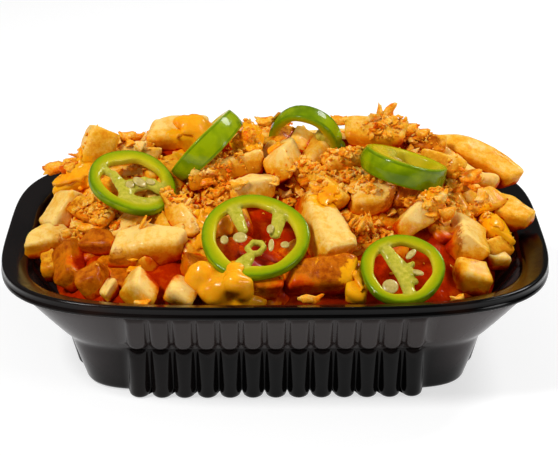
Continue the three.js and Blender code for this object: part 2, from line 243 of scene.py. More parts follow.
def makeCamera():
    lift, turn = math.radians(studio["elevation"]), math.radians(studio["azimuth"])
    back = Vector((math.sin(turn) * math.cos(lift), -math.cos(turn) * math.cos(lift), math.sin(lift)))
    data = bpy.data.cameras.new("photoCamera")
    data.lens = studio["lens"]
    data.sensor_width = 36
    data.clip_start = 0.01
    camera = bpy.data.objects.new("photoCamera", data)
    camera.location = (Vector(studio["target"]) + back * studio["distance"]) * mm
    camera.rotation_mode = "QUATERNION"
    camera.rotation_quaternion = (-back).to_track_quat("-Z", "Y")
    scene.collection.objects.link(camera)
    scene.camera = camera


def makeStudio():
    world = bpy.data.worlds.new("paleStudio")
    world.use_nodes = True
    tree = world.node_tree
    direction = addNode(tree, "ShaderNodeTexCoord").outputs["Generated"]
    upward = addNode(tree, "ShaderNodeSeparateXYZ", {0: direction}).outputs["Z"]
    level = sharpen(tree, upward, 0, 0.8, studio["horizon"], studio["zenith"])  # darker towards the horizon
    tree.links.new(level, tree.nodes["Background"].inputs["Strength"])
    tree.nodes["Background"].inputs["Color"].default_value = (1, 1, 1, 1)
    scene.world = world
    for name, (spot, size, power) in studio["lights"].items():
        data = bpy.data.lights.new(name, "AREA")
        data.shape = "DISK"
        data.size = size * mm
        data.energy = power
        light = bpy.data.objects.new(name, data)
        light.location = Vector(spot) * mm
        light.rotation_mode = "QUATERNION"
        light.rotation_quaternion = (Vector(studio["aim"]) - Vector(spot)).to_track_quat("-Z", "Y")
        scene.collection.objects.link(light)
    material = newMaterial("paleFloor", {
        "Base Color": (0.5, 0.5, 0.5, 1), "Roughness": 0.8, "Specular IOR Level": 0.2,
        "Emission Color": (1, 1, 1, 1), "Emission Strength": studio["floorGlow"],
    })[0]
    mesh = bpy.data.meshes.new("floor")
    reach = studio["floorReach"]
    corners = [(x * reach, y * reach, 0) for x, y in ((-1, -1), (1, -1), (1, 1), (-1, 1))]
    mesh.from_pydata(corners, [], [range(4)])
    mesh.materials.append(material)
    floor = bpy.data.objects.new("floor", mesh)
    floor.location.z = -0.1 * mm
    scene.collection.objects.link(floor)


makeCamera()
makeStudio()
print("studio ready")


# Tray of glossy black plastic with ribs

tray = {
    "ribPitch": 7.75, "frontRibs": 13, "sideRibs": 7, "pointsPerRib": 10, "cornerPoints": 20,
    "wall": {  # outside of the wall by height
        "z": (0, 1.4, 16.5, 18.4, 20.4, 35.4, 37.2), "a": (66.3, 66.6, 71.6, 72.5, 74.8, 88.2, 89.4),
        "b": (48.2, 48.5, 53.3, 54.1, 55.6, 66.2, 67.4), "n": (7, 7, 6.2, 6, 5.9, 4.9, 4.7),
    },
    "inside": {
        "z": (1.4, 3.2, 18.8, 21.2, 37.8), "a": (63.2, 65.3, 70.4, 72.2, 85.1),
        "b": (45.1, 47.2, 52.8, 54.4, 63.9), "n": (7, 7, 6, 5.7, 4.25),
    },
    "lip": [  # height, half length, half width, squareness from the wall round to the inside
        (38.4, 91.2, 69.2, 4.2), (39.7, 92.9, 70.9, 3.8), (39.6, 93.5, 71.5, 3.8), (38.6, 93.6, 71.6, 3.8),
        (37.9, 93.65, 71.65, 3.8), (37.62, 93.95, 71.95, 3.8), (37.65, 94.5, 72.5, 3.8),
        (37.95, 94.9, 72.9, 3.8), (38.5, 95, 73, 3.8), (39, 94.75, 72.75, 3.8), (39.5, 94.5, 72.5, 3.8),
        (40.3, 94.5, 72.5, 3.8), (40.9, 94.7, 72.7, 3.8), (41.3, 94.8, 72.8, 3.8), (41.7, 94.65, 72.65, 3.8),
        (41.95, 94.3, 72.3, 3.8), (42, 93.95, 71.95, 3.8), (41.92, 93.5, 71.5, 3.8), (41.7, 92.8, 70.8, 3.8),
        (41.2, 90.8, 68.9, 3.8), (40.7, 89.1, 67.3, 3.85), (40.2, 87.4, 65.8, 3.95),
        (39.6, 86.2, 64.8, 4.1), (38.6, 85.5, 64.2, 4.2),
    ],
    "kink": 20.4, "lowerWall": 16.5, "upperWall": 15, "softening": 3.2, "floor": 1.4,
    "footRadius": 1.5, "padHalf": 3.2, "padCorner": 2.9, "padFoot": 20.0, "edge": 0.45,
    "columnHalf": 3.82, "columnTop": (15.2, 19.2), "ribFade": (35.2, 37), "insideFade": (35.6, 37.4),
    "longProud": {"column": (6.1, 3.1), "pad": (2.4, 1.5)},  # how far ribs stand out, low and high
    "shortProud": {"column": (2.9, 2), "pad": (1.8, 1.2)},
    "look": {
        # foot is the plastic's own black; flareSheen, corner and foodReflection are painted reflections: the
        # floor in the flared wall, the backdrop on the corners, the food in the front flange
        "foot": (0.0008, 0.0006, 0.0006, 1), "flareSheen": (0.019, 0.0128, 0.0118, 1),
        "corner": (0.05, 0.041, 0.0415, 1), "foodReflection": (0.07, 0.017, 0.005, 1), "roughness": (0.13, 0.22),
    },
}


def straightEnds():  # where the ribbed stretches end and the corners begin
    return tray["frontRibs"] * tray["ribPitch"] / 2, tray["sideRibs"] * tray["ribPitch"] / 2


def trayPlaces():  # kind, distance and signs of every place round the wall
    longEnd, shortEnd = straightEnds()
    along = np.linspace(0, longEnd, int(tray["frontRibs"] * tray["pointsPerRib"] / 2) + 1)
    across = np.linspace(shortEnd, 0, int(tray["sideRibs"] * tray["pointsPerRib"] / 2) + 1)
    bend = np.linspace(0, 1, tray["cornerPoints"] + 2)[1:-1]
    run = [("long", d) for d in along] + [("corner", d) for d in bend] + [("short", d) for d in across]
    places = []
    for sx, sy, quarter in ((1, -1, run), (1, 1, run[::-1]), (-1, 1, run), (-1, -1, run[::-1])):
        places += [(kind, d, sx, sy) for kind, d in quarter[:-1]]
    return places


def depthAt(x, a, b, n):
    return b * (1 - np.minimum(1, np.abs(x / a)) ** n) ** (1 / n)


def ribRelief(offset, z, proud):  # how far a rib stands out at an offset from its middle
    height = (z - tray["kink"]) / tray["upperWall"]
    corner, edge = tray["padCorner"], tray["edge"]
    low = np.array([abs(offset) - (tray["padHalf"] - corner), tray["padFoot"] + corner - z])
    gap = np.hypot(*np.maximum(low, 0)) + min(low.max(), 0) - corner
    foot, top = proud["pad"]
    pad = (foot + (top - foot) * height) * (1 - step(-edge, edge, gap))
    top0, top1 = tray["columnTop"]
    dome = math.sqrt(max(0, 1 - max(0, (z - top0) / (top1 - top0)) ** 2))
    across = max(0, 1 - (offset / (tray["columnHalf"] * (0.7 + 0.3 * dome))) ** 2) ** 0.5 if dome > 0 else 0
    foot, top = proud["column"]
    column = (foot + (top - foot) * z / tray["lowerWall"]) * across * dome
    return pad if z > tray["padFoot"] - 0.6 else max(column, 0)


def wallRow(places, z, a, b, n, relief):
    pitch = tray["ribPitch"]
    longEnd, shortEnd = straightEnds()
    start = math.atan2((depthAt(longEnd, a, b, n) / b) ** (n / 2), (longEnd / a) ** (n / 2))
    finish = math.atan2((shortEnd / b) ** (n / 2), (depthAt(shortEnd, b, a, n) / a) ** (n / 2))
    row = []
    for kind, d, sx, sy in places:
        offset = (d + pitch / 2) % pitch - pitch / 2
        if kind == "long":
            x, y = d, depthAt(d, a, b, n) + relief * ribRelief(offset, z, tray["longProud"])
        elif kind == "short":
            x, y = depthAt(d, b, a, n) + relief * ribRelief(offset, z, tray["shortProud"]), d
        else:
            angle = start + (finish - start) * d
            x, y = a * math.cos(angle) ** (2 / n), b * math.sin(angle) ** (2 / n)
        row.append((sx * x, sy * y, z))
    return row


def makeTray():
    places = trayPlaces()
    rows = []
    wall = tray["wall"]
    fine = np.arange(-3, 41, 0.25)  # the wall's form, softened at the kink
    kernel = np.exp(-0.5 * (np.arange(-8, 9) / tray["softening"]) ** 2)
    kernel /= kernel.sum()
    soft = {}
    for k in "abn":
        soft[k] = np.convolve(np.pad(np.interp(fine, wall["z"], wall[k]), 8, "edge"), kernel, "valid")
    heights = [0, 0.12, 0.35, 0.75, 1.3, 2] + list(np.arange(3, 15, 1.1)) + list(np.arange(15, 23.6, 0.36))
    heights += list(np.arange(24, 36.5, 1.2)) + [36.6, 37.2]
    radius = tray["footRadius"]
    for z in heights:
        inset = radius - math.sqrt(max(0, radius ** 2 - max(0, radius - z) ** 2))
        a, b, n = (float(np.interp(z, fine, soft[k])) for k in "abn")
        rows.append(wallRow(places, z, a - inset, b - inset, n, 1 - step(*tray["ribFade"], z)))
    rows = [[(x * s, y * s, 0) for x, y, _ in rows[0]] for s in (0.02, 0.5, 0.9)] + rows
    rows += [wallRow(places, z, a, b, n, 0) for z, a, b, n in tray["lip"]]
    inside = tray["inside"]
    heights = [37.7, 37] + list(np.arange(36, 23, -1.1)) + list(np.arange(22.6, 17, -0.6))
    for z in heights + [15, 11, 7, 4, 2.2]:
        a, b, n = (float(np.interp(z, inside["z"], inside[k])) for k in "abn")
        relief = 0.8 * step(20, 21.5, z) * (1 - step(*tray["insideFade"], z))
        rows.append(wallRow(places, z, a, b, n, relief))
    rows += [[(x * s, y * s, tray["floor"]) for x, y, _ in rows[-1]] for s in (0.97, 0.6, 0.02)]
    points = np.array(rows).reshape(-1, 3)
    faces = gridFaces(len(rows), len(places))
    count = len(places)
    faces.append(tuple(range(count - 1, -1, -1)))
    faces.append(tuple(len(points) - count + i for i in range(count)))
    return points, faces


def blackPlastic():
    look = tray["look"]  # heights and distances below are in metres, as the shader sees them
    material, tree, shader = newMaterial("blackPlastic", {"IOR": 1.45, "Specular IOR Level": 0.17})
    parts = addNode(tree, "ShaderNodeSeparateXYZ", {0: place(tree)}).outputs
    sideways = combine(tree, "ABSOLUTE", parts["X"], 0)
    height = plus(tree, parts["Z"], sharpen(tree, speckle(tree, 9, 4), 0.3, 0.7, -0.0012, 0.0012))
    underLip = sharpen(tree, height, 0.0375, 0.0365)
    # Painted reflection of the floor: the flared upper wall and the lower left wall lighter than the black
    # foot
    flareSheen = times(tree, sharpen(tree, height, 0.015, 0.024), underLip)
    leftSheen = sharpen(tree, parts["X"], -0.01, -0.06, 0, 0.3)
    colour = blend(tree, combine(tree, "MAXIMUM", flareSheen, leftSheen), look["foot"], look["flareSheen"])
    # Painted sheen of the backdrop on the corners under the lip
    cornerSheen = times(tree, sharpen(tree, sideways, 0.048, 0.07, 0, 0.75), underLip)
    cornerSheen = times(tree, cornerSheen, sharpen(tree, height, 0.002, 0.014))
    colour = blend(tree, cornerSheen, colour, look["corner"])
    # Painted reflection of the food in the front flange
    inFront = sharpen(tree, parts["Y"], -0.0708, -0.0665)
    inFront = times(tree, inFront, sharpen(tree, parts["Y"], -0.054, -0.06))
    inFront = times(tree, inFront, sharpen(tree, sideways, 0.067, 0.045))
    foodReflection = times(tree, inFront, sharpen(tree, height, 0.0375, 0.0385))
    plug(tree, shader, {
        "Base Color": blend(tree, foodReflection, colour, look["foodReflection"]),
        "Roughness": sharpen(tree, speckle(tree, 3.2, 4), 0.3, 0.75, *look["roughness"]),
    })
    bump(tree, shader, speckle(tree, 0.9, 2), 0.05, 0.05)
    return material


points, faces = makeTray()
makePiece("blackTray", points, faces, blackPlastic(), replaces=["tray"])
print("tray made")


# Where the slices of green pepper lie, needed by everything that lies round them

slices = {  # middle, way the cut face looks, outer radius, thickness
    "left": ((-49.4, -12.2, 62.95), (0.26, -0.35, 0.9), 15.2, 3.2),
    "edge": ((-24.5, 6, 69.4), (-0.7, 0.19, 0.69), 15.2, 8.6),
    "back": ((11.5, 18, 68.5), (-0.3, -0.86, -0.4), 13, 6.5),
    "centre": ((-7, -41.2, 54.05), (0, -0.46, 0.89), 18, 3.2),
    "right": ((45, -6.6, 66), (0.276, 0.147, 0.95), 14.8, 8),
    "front": ((42, -52.75, 46.85), (0, -0.52, 0.85), 13.8, 3.4),
}


def sliceAxes(name):  # rows are the slice's own x, y and face directions
    turn = Vector((0, 0, 1)).rotation_difference(Vector(slices[name][1]).normalized())
    return np.array([turn @ Vector(axis) for axis in ((1, 0, 0), (0, 1, 0), (0, 0, 1))])


def pushClear(points, margin=0.35, over=()):  # moves points out of the slices, to below or above them
    points = points.copy()
    for name, (middle, _, radius, thickness) in slices.items():
        axes = sliceAxes(name)
        local = (points - np.array(middle)) @ axes.T
        reach = np.hypot(local[:, 0], local[:, 1])
        half = thickness / 2 + margin
        near = (reach < radius + margin) & (np.abs(local[:, 2]) < half)
        local[near, 2] = half if name in over else -half
        points = np.where(near[:, None], local @ axes + np.array(middle), points)
    return points


def touchesSlice(point, size):
    for name, (middle, _, radius, thickness) in slices.items():
        local = sliceAxes(name) @ (np.array(point) - np.array(middle))
        if math.hypot(local[0], local[1]) < radius + size and abs(local[2]) < thickness / 2 + size:
            return True
    return False


skyRings = (  # rays for skyView: outward, upward and angles round the heap
    (0.72, 0.69, (-2.6, -1.57, -0.5, 0.6, 1.6, 2.6)),
    (0.95, 0.3, (-2.5, -1.9, -1.25, -0.6)),
)


def skyView(points, outward, tree, reach=22):  # 1 where a surface lies open to the sky, 0 in the gaps
    rays = [(0, 0, 1)]
    for out, up, angles in skyRings:
        rays += [(math.cos(a) * out, math.sin(a) * out, up) for a in angles]
    starts = [Vector(p) for p in points + outward * 0.5]
    view = np.zeros(len(points))
    for ray in rays:
        facing = outward @ np.array(ray)
        way = Vector(ray)
        for i in np.nonzero(facing > 0.03)[0]:
            if tree.ray_cast(starts[i], way, reach)[0] is None:
                view[i] += 0.35 + 0.65 * facing[i]
    return np.clip(view / 4.2, 0, 1)


# Thick-cut fries

heap = {"rim": 38, "rise": 37, "peak": 18, "halfLength": 88, "frontRun": 82, "backRun": 48}


def heapTop(x, y):
    front = y < heap["peak"]
    run, power = np.where(front, heap["frontRun"], heap["backRun"]), np.where(front, 1.25, 1.42)
    drop = np.abs(x / heap["halfLength"]) ** 6 + (np.abs(y - heap["peak"]) / run) ** power
    return heap["rim"] + heap["rise"] * (1 - drop)


def scatter(n, stride=0.618034):  # fixed spread of values from 0 to 1, another one for each stride
    value = n * stride + 0.37
    return value - math.floor(value)


fries = {
    "width": 10.5, "corner": 0.19, "endReach": 2.6, "taperReach": 14,
    "shownDetail": (30, 1.05), "deepDetail": (20, 1.9),  # points round a fry and gap along it in mm
    "endRound": ((0, 0.04), (0.05, 0.4), (0.22, 0.68), (0.6, 0.86), (1.3, 0.96)),  # mm in, share of width
    "backRows": ((34, 7), (46, 7), (57, 6)), "backRoom": (75, 57.5), "deepRoom": (73, 53),  # y and count
    "turning": 0.9, "bowing": 0.3, "cornerSpread": 0.12, "skew": 0.5, "slant": 0.8,  # how fries differ
    "waviness": ((17, 1.1), (7.5, 0.55), (3.2, 0.3), (1.3, 0.15)),  # size and height in mm of blobs
    "shown": [  # from, to, width, tone, and what else differs
        ((-68, 8, 56), (-60, 9, 74.8), 10.5, "pale", {"roll": 4, "blunt": 0.1}),
        ((-78, -13, 43.5), (-69.5, -3, 54), 12.5, "pale", {}),
        ((-77, 10, 51), (-61, 3, 60), 10.5, "cheesy", {}),
        ((-87, -20, 42), (-71, -17, 43.5), 9.5, "pale", {"tip": (0.75, 1)}),
        ((-78.5, -21, 41), (-77, -30, 35.5), 6, "crumbed", {}),
        ((-71.5, -24, 44), (-69.5, -41, 37), 9, "glazed", {}),
        ((-65.5, -27, 46.5), (-54, -30, 47.5), 9, "glazed", {}),
        ((-62, -38, 41), (-61, -49, 37.5), 9.5, "glazed", {}),
        ((-57.5, -53, 36.5), (-54, -46, 39.5), 5.5, "pale", {}),
        ((-56, -35.5, 47), (-30.5, -37.5, 50.3), 13, "pale", {"tip": (0.85, 0.62), "roll": 15}),
        ((-46.5, -57, 38), (-44.5, -45, 40.5), 10.5, "pale", {"roll": 40}),
        ((-33, -58.5, 37.5), (-31, -48, 38.5), 9, "pale", {"roll": 20}),
        ((-39, -15, 60.5), (-27, -30, 49.5), 9, "plain", {"over": ("left",), "tip": (0.3, 1)}),
        ((-46, 17, 69.3), (-25, 18, 69.5), 11.5, "pale", {"tip": (0.92, 1)}),
        ((-56, 11, 64), (-40, 7, 65), 9, "plain", {}),
        ((-30, -8, 62.5), (-4, 2, 66.5), 8, "plain", {}),
        ((-11, 4, 67), (-9, 11, 75), 9, "cheesy", {}),
        ((0.5, -7, 66), (5.5, 10, 65), 11, "pale", {"blunt": 0.4}),
        ((-15, -15, 60), (0, -9, 61), 9, "pale", {"tip": (0.8, 0.8)}),
        ((13, -15, 58.5), (21, -42.5, 48), 10.3, "pale", {"roll": 8, "blunt": 0.12}),
        ((3, -50, 42), (26, -48, 43), 11, "glazed", {}),
        ((26.5, -58, 38), (28, -42, 45), 6.5, "cheesy", {}),
        ((26, -17, 58), (41, -17, 58), 11, "pale", {"tip": (0.9, 0.7)}),
        ((40, -13, 58), (55, -15, 57), 11, "glazed", {}),
        ((42, -31, 51), (58, -16, 57), 10.5, "pale", {"tip": (0.62, 1)}),
        ((65.5, -34, 45.3), (64.5, -16, 48), 11.5, "pale", {"roll": 38, "blunt": 0.2}),
        ((77.5, -19, 42.5), (75, -5, 45.5), 9.5, "cheesy", {"blunt": 0.4}),
        ((78, 4, 49.5), (67, -8, 52.5), 11.5, "plain", {}),
        ((79.5, 10, 53.5), (70, 14, 53.5), 6.5, "pale", {}),
        ((90.5, -5, 45.5), (76.5, 3, 46), 11.5, "straw", {"tip": (0.5, 1), "blunt": 0.2, "calm": 0.5}),
        ((80.5, -17, 39.5), (71, -27, 41), 8, "golden", {}),
        ((68, -46.5, 37.5), (65.5, -36, 41.5), 10.5, "plain", {"roll": 20}),
        ((78.5, -27, 37), (73.5, -20, 39.5), 8.5, "pale", {}),
        ((55, 24, 64.5), (86.5, 14, 53), 10.5, "straw",
         {"via": (75, 26, 59.5), "tip": (0.55, 0.85), "calm": 0.4}),
        ((26, 18, 70), (46, 17, 68), 10.5, "plain", {}),
        ((51, 20, 66.5), (61, 18, 65), 8.5, "crumbed", {}),
        ((10, -3, 64), (23, -20, 57), 9, "crumbed", {}),
        ((19, 0, 62.5), (34, 6, 64), 9, "crumbed", {}),
        ((52, 8, 64), (66, 4, 60), 9, "crumbed", {}),
        ((-69, -10, 53), (-57, -20, 51), 9, "crumbed", {}),
        ((-28, -40, 44.5), (-23, -49, 42), 7.5, "glazed", {}),
        ((-14, -53, 41), (2, -52, 41), 9, "glazed", {}),
    ],
    "endFries": [  # from, to and width, on the left end, seen from behind
        ((-77, 18, 45), (-67, 27, 52), 10), ((-79, 33, 40.5), (-67, 37, 46), 10.5),
        ((-62, 22, 57), (-66, 38, 50), 10), ((-75, 46, 39.5), (-63, 44, 46), 10),
        ((-55, 33, 58), (-60, 47, 49), 9.5),
    ],
    "redGaps": [  # places where no buried fry hides the red core
        (-35, -45, 40), (5.5, -20, 56), (-68, -46, 36), (57, -42, 40), (30, -50, 38), (-45, -28, 50),
        (14, -58, 36),
    ],
    "tones": {  # how golden, how glazed, how cheesy
        "pale": (0.12, 0.0, 0.0), "plain": (0.38, 0.08, 0.05), "golden": (0.66, 0.0, 0.05),
        "straw": (0.4, 0.0, 0.0), "crumbed": (0.6, 0.25, 0.1), "glazed": (0.8, 0.85, 0.1),
        "cheesy": (0.5, 0.1, 0.95), "buried": (0.75, 0.35, 0.1),
    },
    "look": {
        "crust": [(0.08, (0.96, 0.625, 0.175)), (0.6, (0.89, 0.42, 0.018)), (1.0, (0.76, 0.24, 0.002))],
        "toasted": (0.76, 0.24, 0.002, 1), "cheese": (1.0, 0.42, 0.004, 1),
        "glaze": (0.62, 0.15, 0.002, 1), "darkGlaze": (0.30, 0.03, 0.0005, 1),
        "oil": [(0.15, (0.92, 0.36, 0.004)), (0.4, (0.82, 0.18, 0.0008)), (0.6, (0.66, 0.06, 0.0004)),
                (0.85, (0.42, 0.01, 0.0002))],
        "roughness": (0.44, 0.17),  # dry, wet
    },
}

coats = {  # sauce that runs over the fries: x, y, z and radius
    "cheese": [(-31, 8, 72, 8), (-22, -27, 56, 6), (55, -19, 60, 5), (17, -22, 60, 6), (75, -14, 50, 7),
               (27, -52, 43, 7), (-70, 6, 60, 9), (-1, 4, 71, 5)],
    "glaze": [(-20, -32, 54, 8), (-68, -30, 46, 9), (-60, -42, 42, 9), (14, -52, 42, 11), (46, -18, 58, 9),
              (66, -37, 40, 6), (-52, -42, 42, 6), (5, -20, 58, 7), (60, -30, 46, 8), (55, 18, 66, 7),
              (-16, -50, 44, 8)],
    "oil": [(-7, -38, 48, 14), (42, -50, 41, 13), (4.5, -21, 58, 6), (56, -46, 40, 7), (-38, -46, 42, 8),
            (6, -58, 38, 10), (58, -30, 45, 6), (-66, -34, 40, 7), (38, -30, 50, 8), (46, 14, 66, 6)],
}


def roundedSquare(count, corner):  # points evenly spaced round a unit square with round corners
    outline = []
    for sx, sy, first in ((1, 1, 0), (-1, 1, 90), (-1, -1, 180), (1, -1, 270)):
        for angle in np.radians(np.linspace(first, first + 90, 9)):
            x, y = sx * (1 - corner) + corner * math.cos(angle), sy * (1 - corner) + corner * math.sin(angle)
            outline.append((x, y))
    outline = np.array(outline + outline[:1])
    along = np.concatenate([[0], np.cumsum(np.hypot(*np.diff(outline, axis=0).T))])
    want = np.linspace(0, along[-1], count, endpoint=False)
    return np.stack([np.interp(want, along, outline[:, 0]), np.interp(want, along, outline[:, 1])], 1)


def fryShape(start, end, width, index, detail, via=None, tip=(1, 1), over=(), roll=None, blunt=1, calm=1):
    sectionPoints, gap = detail
    start, end = np.array(start, float), np.array(end, float)
    axis = end - start
    length = np.linalg.norm(axis)
    straight = Vector(axis).normalized()
    rollAngle = scatter(index, 0.324718) * fries["turning"] if roll is None else math.radians(roll)
    turn = Vector((0, 0, 1)).rotation_difference(straight) @ Quaternion((0, 0, 1), rollAngle)
    sideways = np.array(turn @ Vector((1, 1, 0)))
    middle = (start + end) / 2 + sideways * (scatter(index) - 0.5) * width * fries["bowing"]
    if via:
        middle = np.array(via, float)
    count = max(4, int(length / gap))
    inner = np.linspace(fries["endReach"], length - fries["endReach"], count)
    near = [(d * blunt, s) for d, s in fries["endRound"]]
    stations = near + [(d, 1) for d in inner] + [(length - d, s) for d, s in near[::-1]]
    section = roundedSquare(sectionPoints, fries["corner"] + fries["cornerSpread"] * scatter(index, 0.7167))
    edge = np.min(np.abs(section), 1) / np.max(np.abs(section), 1)
    section = section * (1 + 0.1 * (scatter(index, 0.8191) - 0.5), 1 - 0.16 * scatter(index, 0.6711))
    section[:, 0] += section[:, 1] * (scatter(index, 0.5497) - 0.5) * fries["skew"]
    fullness = 0.94 + 0.1 * scatter(index, 0.7548777)
    cuts = [(scatter(index * 7 + k, 0.5698403) - 0.5) * fries["slant"] for k in range(4)]
    rows, outward = [], []
    for d, scale in stations:
        s = d / length
        centre = (1 - s) ** 2 * start + 2 * s * (1 - s) * middle + s * s * end
        heading = 2 * (1 - s) * (middle - start) + 2 * s * (end - middle)
        bend = straight.rotation_difference(Vector(heading).normalized()) @ turn
        right, up, forward = (np.array(bend @ Vector(v)) for v in ((1, 0, 0), (0, 1, 0), (0, 0, 1)))
        taper = 1
        for share, away in zip(tip, (d, length - d)):
            taper *= 1 - (1 - share) * (1 - float(step(0, min(fries["taperReach"], length * 0.6), away)))
        size = width / 2 * scale * taper * (fullness + (1 - fullness) * s)
        slant = cuts[:2] if s < 0.5 else cuts[2:]
        fade = 1 - float(step(0, 5, min(d, length - d)))
        lean = (section[:, 0] * slant[0] + section[:, 1] * slant[1]) * size * fade
        side = section[:, :1] * right + section[:, 1:] * up
        rows.append(centre + size * side + lean[:, None] * forward)
        endward = (-1 if s < 0.5 else 1) * (1 - scale) * 3 * forward
        outward.append(side + endward)
    points = np.concatenate(rows)
    outward = np.concatenate(outward)
    outward /= np.linalg.norm(outward, axis=1)[:, None]
    for blob, relief in fries["waviness"]:
        points = points + outward * (calm * relief * blobNoise(points, blob, 5 + index % 7))[:, None]
    faces = gridFaces(len(stations), sectionPoints)
    last = len(points) - sectionPoints
    faces.append(tuple(range(sectionPoints - 1, -1, -1)))
    faces.append(tuple(last + i for i in range(sectionPoints)))
    return pushClear(points, over=over), faces, outward, np.tile(edge, len(stations))


def fryMarks(points, outward, edge, tone, index):
    golden, glaze, cheese = fries["tones"][tone]
    broad, fine = blobNoise(points, 7, 31), blobNoise(points, 2.2, 32)
    # Painted shade and highlight: browner on the sides and below, paler along the edges
    goldAndShading = golden + 0.62 * step(0.85, -0.05, outward[:, 2]) + 0.2 * step(0, -0.9, outward[:, 2])
    goldAndShading += 0.22 * broad + 0.1 * (scatter(index, 0.43) - 0.5) - 0.12 * step(0.5, 1, edge)
    cover = {"glaze": 0 * fine, "cheese": 0 * fine, "oil": 0 * fine}
    if glaze > 0:
        cover["glaze"] = glaze + 0.3 * broad + 0.12 * fine
    if cheese > 0:
        cover["cheese"] = cheese + 0.25 * broad + 0.1 * fine
    ragged = 0.28 * blobNoise(points, 4, 33)
    for kind, patches in coats.items():
        for x, y, z, radius in patches:
            away = np.linalg.norm(points - np.array((x, y, z)), axis=1) / radius + ragged + 0.1 * fine
            cover[kind] = np.maximum(cover[kind], 1.35 - away)
    return {"goldAndShading": np.clip(goldAndShading, 0, 1)} | {kind: np.clip(value, 0, 1) for kind, value in cover.items()}


# Ends of a fry, kept inside the tray; height gives each end's z from the heap's top there
def pulledEnds(x, y, heading, reach, room, flatten, height):
    ends = []
    for side in (-1, 1):
        ex = x + side * reach * math.cos(heading)
        ey = y + side * reach * math.sin(heading) * flatten
        pull = max(1, ((abs(ex) / room[0]) ** 4 + (abs(ey) / room[1]) ** 4) ** 0.25)
        ex, ey = ex / pull, ey / pull
        ends.append((ex, ey, height(float(heapTop(ex, ey)))))
    return ends


def spreadFries():  # the back slope, by the same rule as the solids
    found = []
    for row, (y, count) in enumerate(fries["backRows"]):
        for i in range(count):
            seed = row * 11 + i
            x = ((i + 0.5) / count - 0.5) * (150 - row * 8) + (scatter(seed) - 0.5) * 8
            heading = (scatter(seed, 0.7548777) - 0.5) * 1.9
            reach = 10 + 6 * scatter(seed, 0.5698403)
            ends = pulledEnds(x, y, heading, reach, fries["backRoom"], 0.6, lambda top: max(39.5, top - 6))
            found.append((*ends, fries["width"] * (0.85 + 0.25 * scatter(seed, 0.4301597))))
    return found + fries["endFries"]


def buriedFries():  # a second layer under the ones that show, left out where the red core shows
    draw = np.random.default_rng(12)
    room = fries["deepRoom"]
    found = []
    for y in np.arange(-50, 55, 9.5):
        for x in np.arange(-70, 72, 17):
            px, py = x + draw.uniform(-4, 4), y + draw.uniform(-3, 3)
            if (abs(px) / room[0]) ** 4 + (abs(py) / room[1]) ** 4 > 1:
                continue
            heading, reach = draw.uniform(0, math.pi), draw.uniform(10, 15)
            ends = pulledEnds(px, py, heading, reach, room, 1,
                              lambda top: max(33, top - draw.uniform(9.5, 12.5)))
            width = draw.uniform(8.5, 11)
            along = [np.array(ends[0]) * (1 - t) + np.array(ends[1]) * t for t in (0, 0.25, 0.5, 0.75, 1)]
            if all(math.dist(spot, gap) > 10 for spot in along for gap in fries["redGaps"]):
                found.append((*ends, width))
    return found


def friedPotato():
    look = fries["look"]
    material, tree, shader = newMaterial("friedPotato", {
        "Subsurface Weight": 0.3, "Subsurface Radius": (1, 0.45, 0.1), "Subsurface Scale": 0.0026,
        "Coat Weight": 0.1, "Coat Roughness": 0.08, "IOR": 1.42, "Specular IOR Level": 0.07,
    })
    mottle = speckle(tree, 2.6, 5, 0.7)
    breakup = sharpen(tree, speckle(tree, 1.7, 4), 0.25, 0.75, -0.18, 0.18)
    # Painted shade: more golden where the fry is hidden in the gaps
    shaded = plus(tree, mark(tree, "goldAndShading"), times(tree, mark(tree, "deep"), 0.6))
    golden = plus(tree, shaded, sharpen(tree, mottle, 0.3, 0.72, -0.24, 0.36))
    spots = sharpen(tree, speckle(tree, 1.1, 3), 0.6, 0.74, 0, 0.55)
    colour = blend(tree, spots, ramp(tree, golden, look["crust"]), look["toasted"])
    glazed = sharpen(tree, plus(tree, mark(tree, "glaze"), breakup), 0.32, 0.62, 0, 0.92)
    glazeColour = blend(tree, sharpen(tree, mottle, 0.35, 0.7), look["glaze"], look["darkGlaze"])
    colour = blend(tree, glazed, colour, glazeColour)
    cheesy = sharpen(tree, plus(tree, mark(tree, "cheese"), breakup), 0.36, 0.56)
    colour = blend(tree, cheesy, colour, look["cheese"])
    # Sauce in the gaps with painted shade: the oil colour darkens the more hidden a place is
    buried = plus(tree, mark(tree, "deep"), times(tree, breakup, 0.7))
    deep = sharpen(tree, buried, 0.1, 0.6, 0, 0.97)
    wet = combine(tree, "MAXIMUM", combine(tree, "MAXIMUM", glazed, cheesy), deep)
    plug(tree, shader, {
        "Base Color": blend(tree, deep, colour, ramp(tree, buried, look["oil"])),
        "Roughness": sharpen(tree, wet, 0, 1, *look["roughness"]),
    })
    bump(tree, shader, speckle(tree, 1.0, 5, 0.65), 0.6, 0.3)
    return material


shownPile, deepPile = Pile(), Pile()
outwards = {"top": [], "deep": []}
for index, (start, end, width, tone, extra) in enumerate(fries["shown"]):
    points, faces, outward, edge = fryShape(start, end, width, index, fries["shownDetail"], **extra)
    shownPile.add(points, faces, **fryMarks(points, outward, edge, tone, index))
    outwards["top"].append(outward)
for index, (start, end, width) in enumerate(spreadFries() + buriedFries()):
    tone = ("plain" if index < 20 else "buried", "pale" if index < 20 else "plain", "golden")[index % 3]
    points, faces, outward, edge = fryShape(start, end, width, index + 50, fries["deepDetail"])
    deepPile.add(points, faces, **fryMarks(points, outward, edge, tone, index))
    outwards["deep"].append(outward)
print("fries shaped")


# Core of the heap, red with spiced oil, seen only through the gaps

core = {
    "a": 77, "b": 57.5, "n": 4, "depth": 8.5, "floor": 6, "rim": 30, "foot": 0.7,
    # rimShadeColour is painted shade, darker where the core meets the front rim
    "rings": 44, "spokes": 150, "relief": (1.6, 0.6), "rimShadeColour": (0.07, 0.009, 0.001, 1),
    "colours": [(0.3, (0.30, 0.008, 0.0002)), (0.55, (0.46, 0.022, 0.0002)), (0.8, (0.70, 0.11, 0.0005))],
}


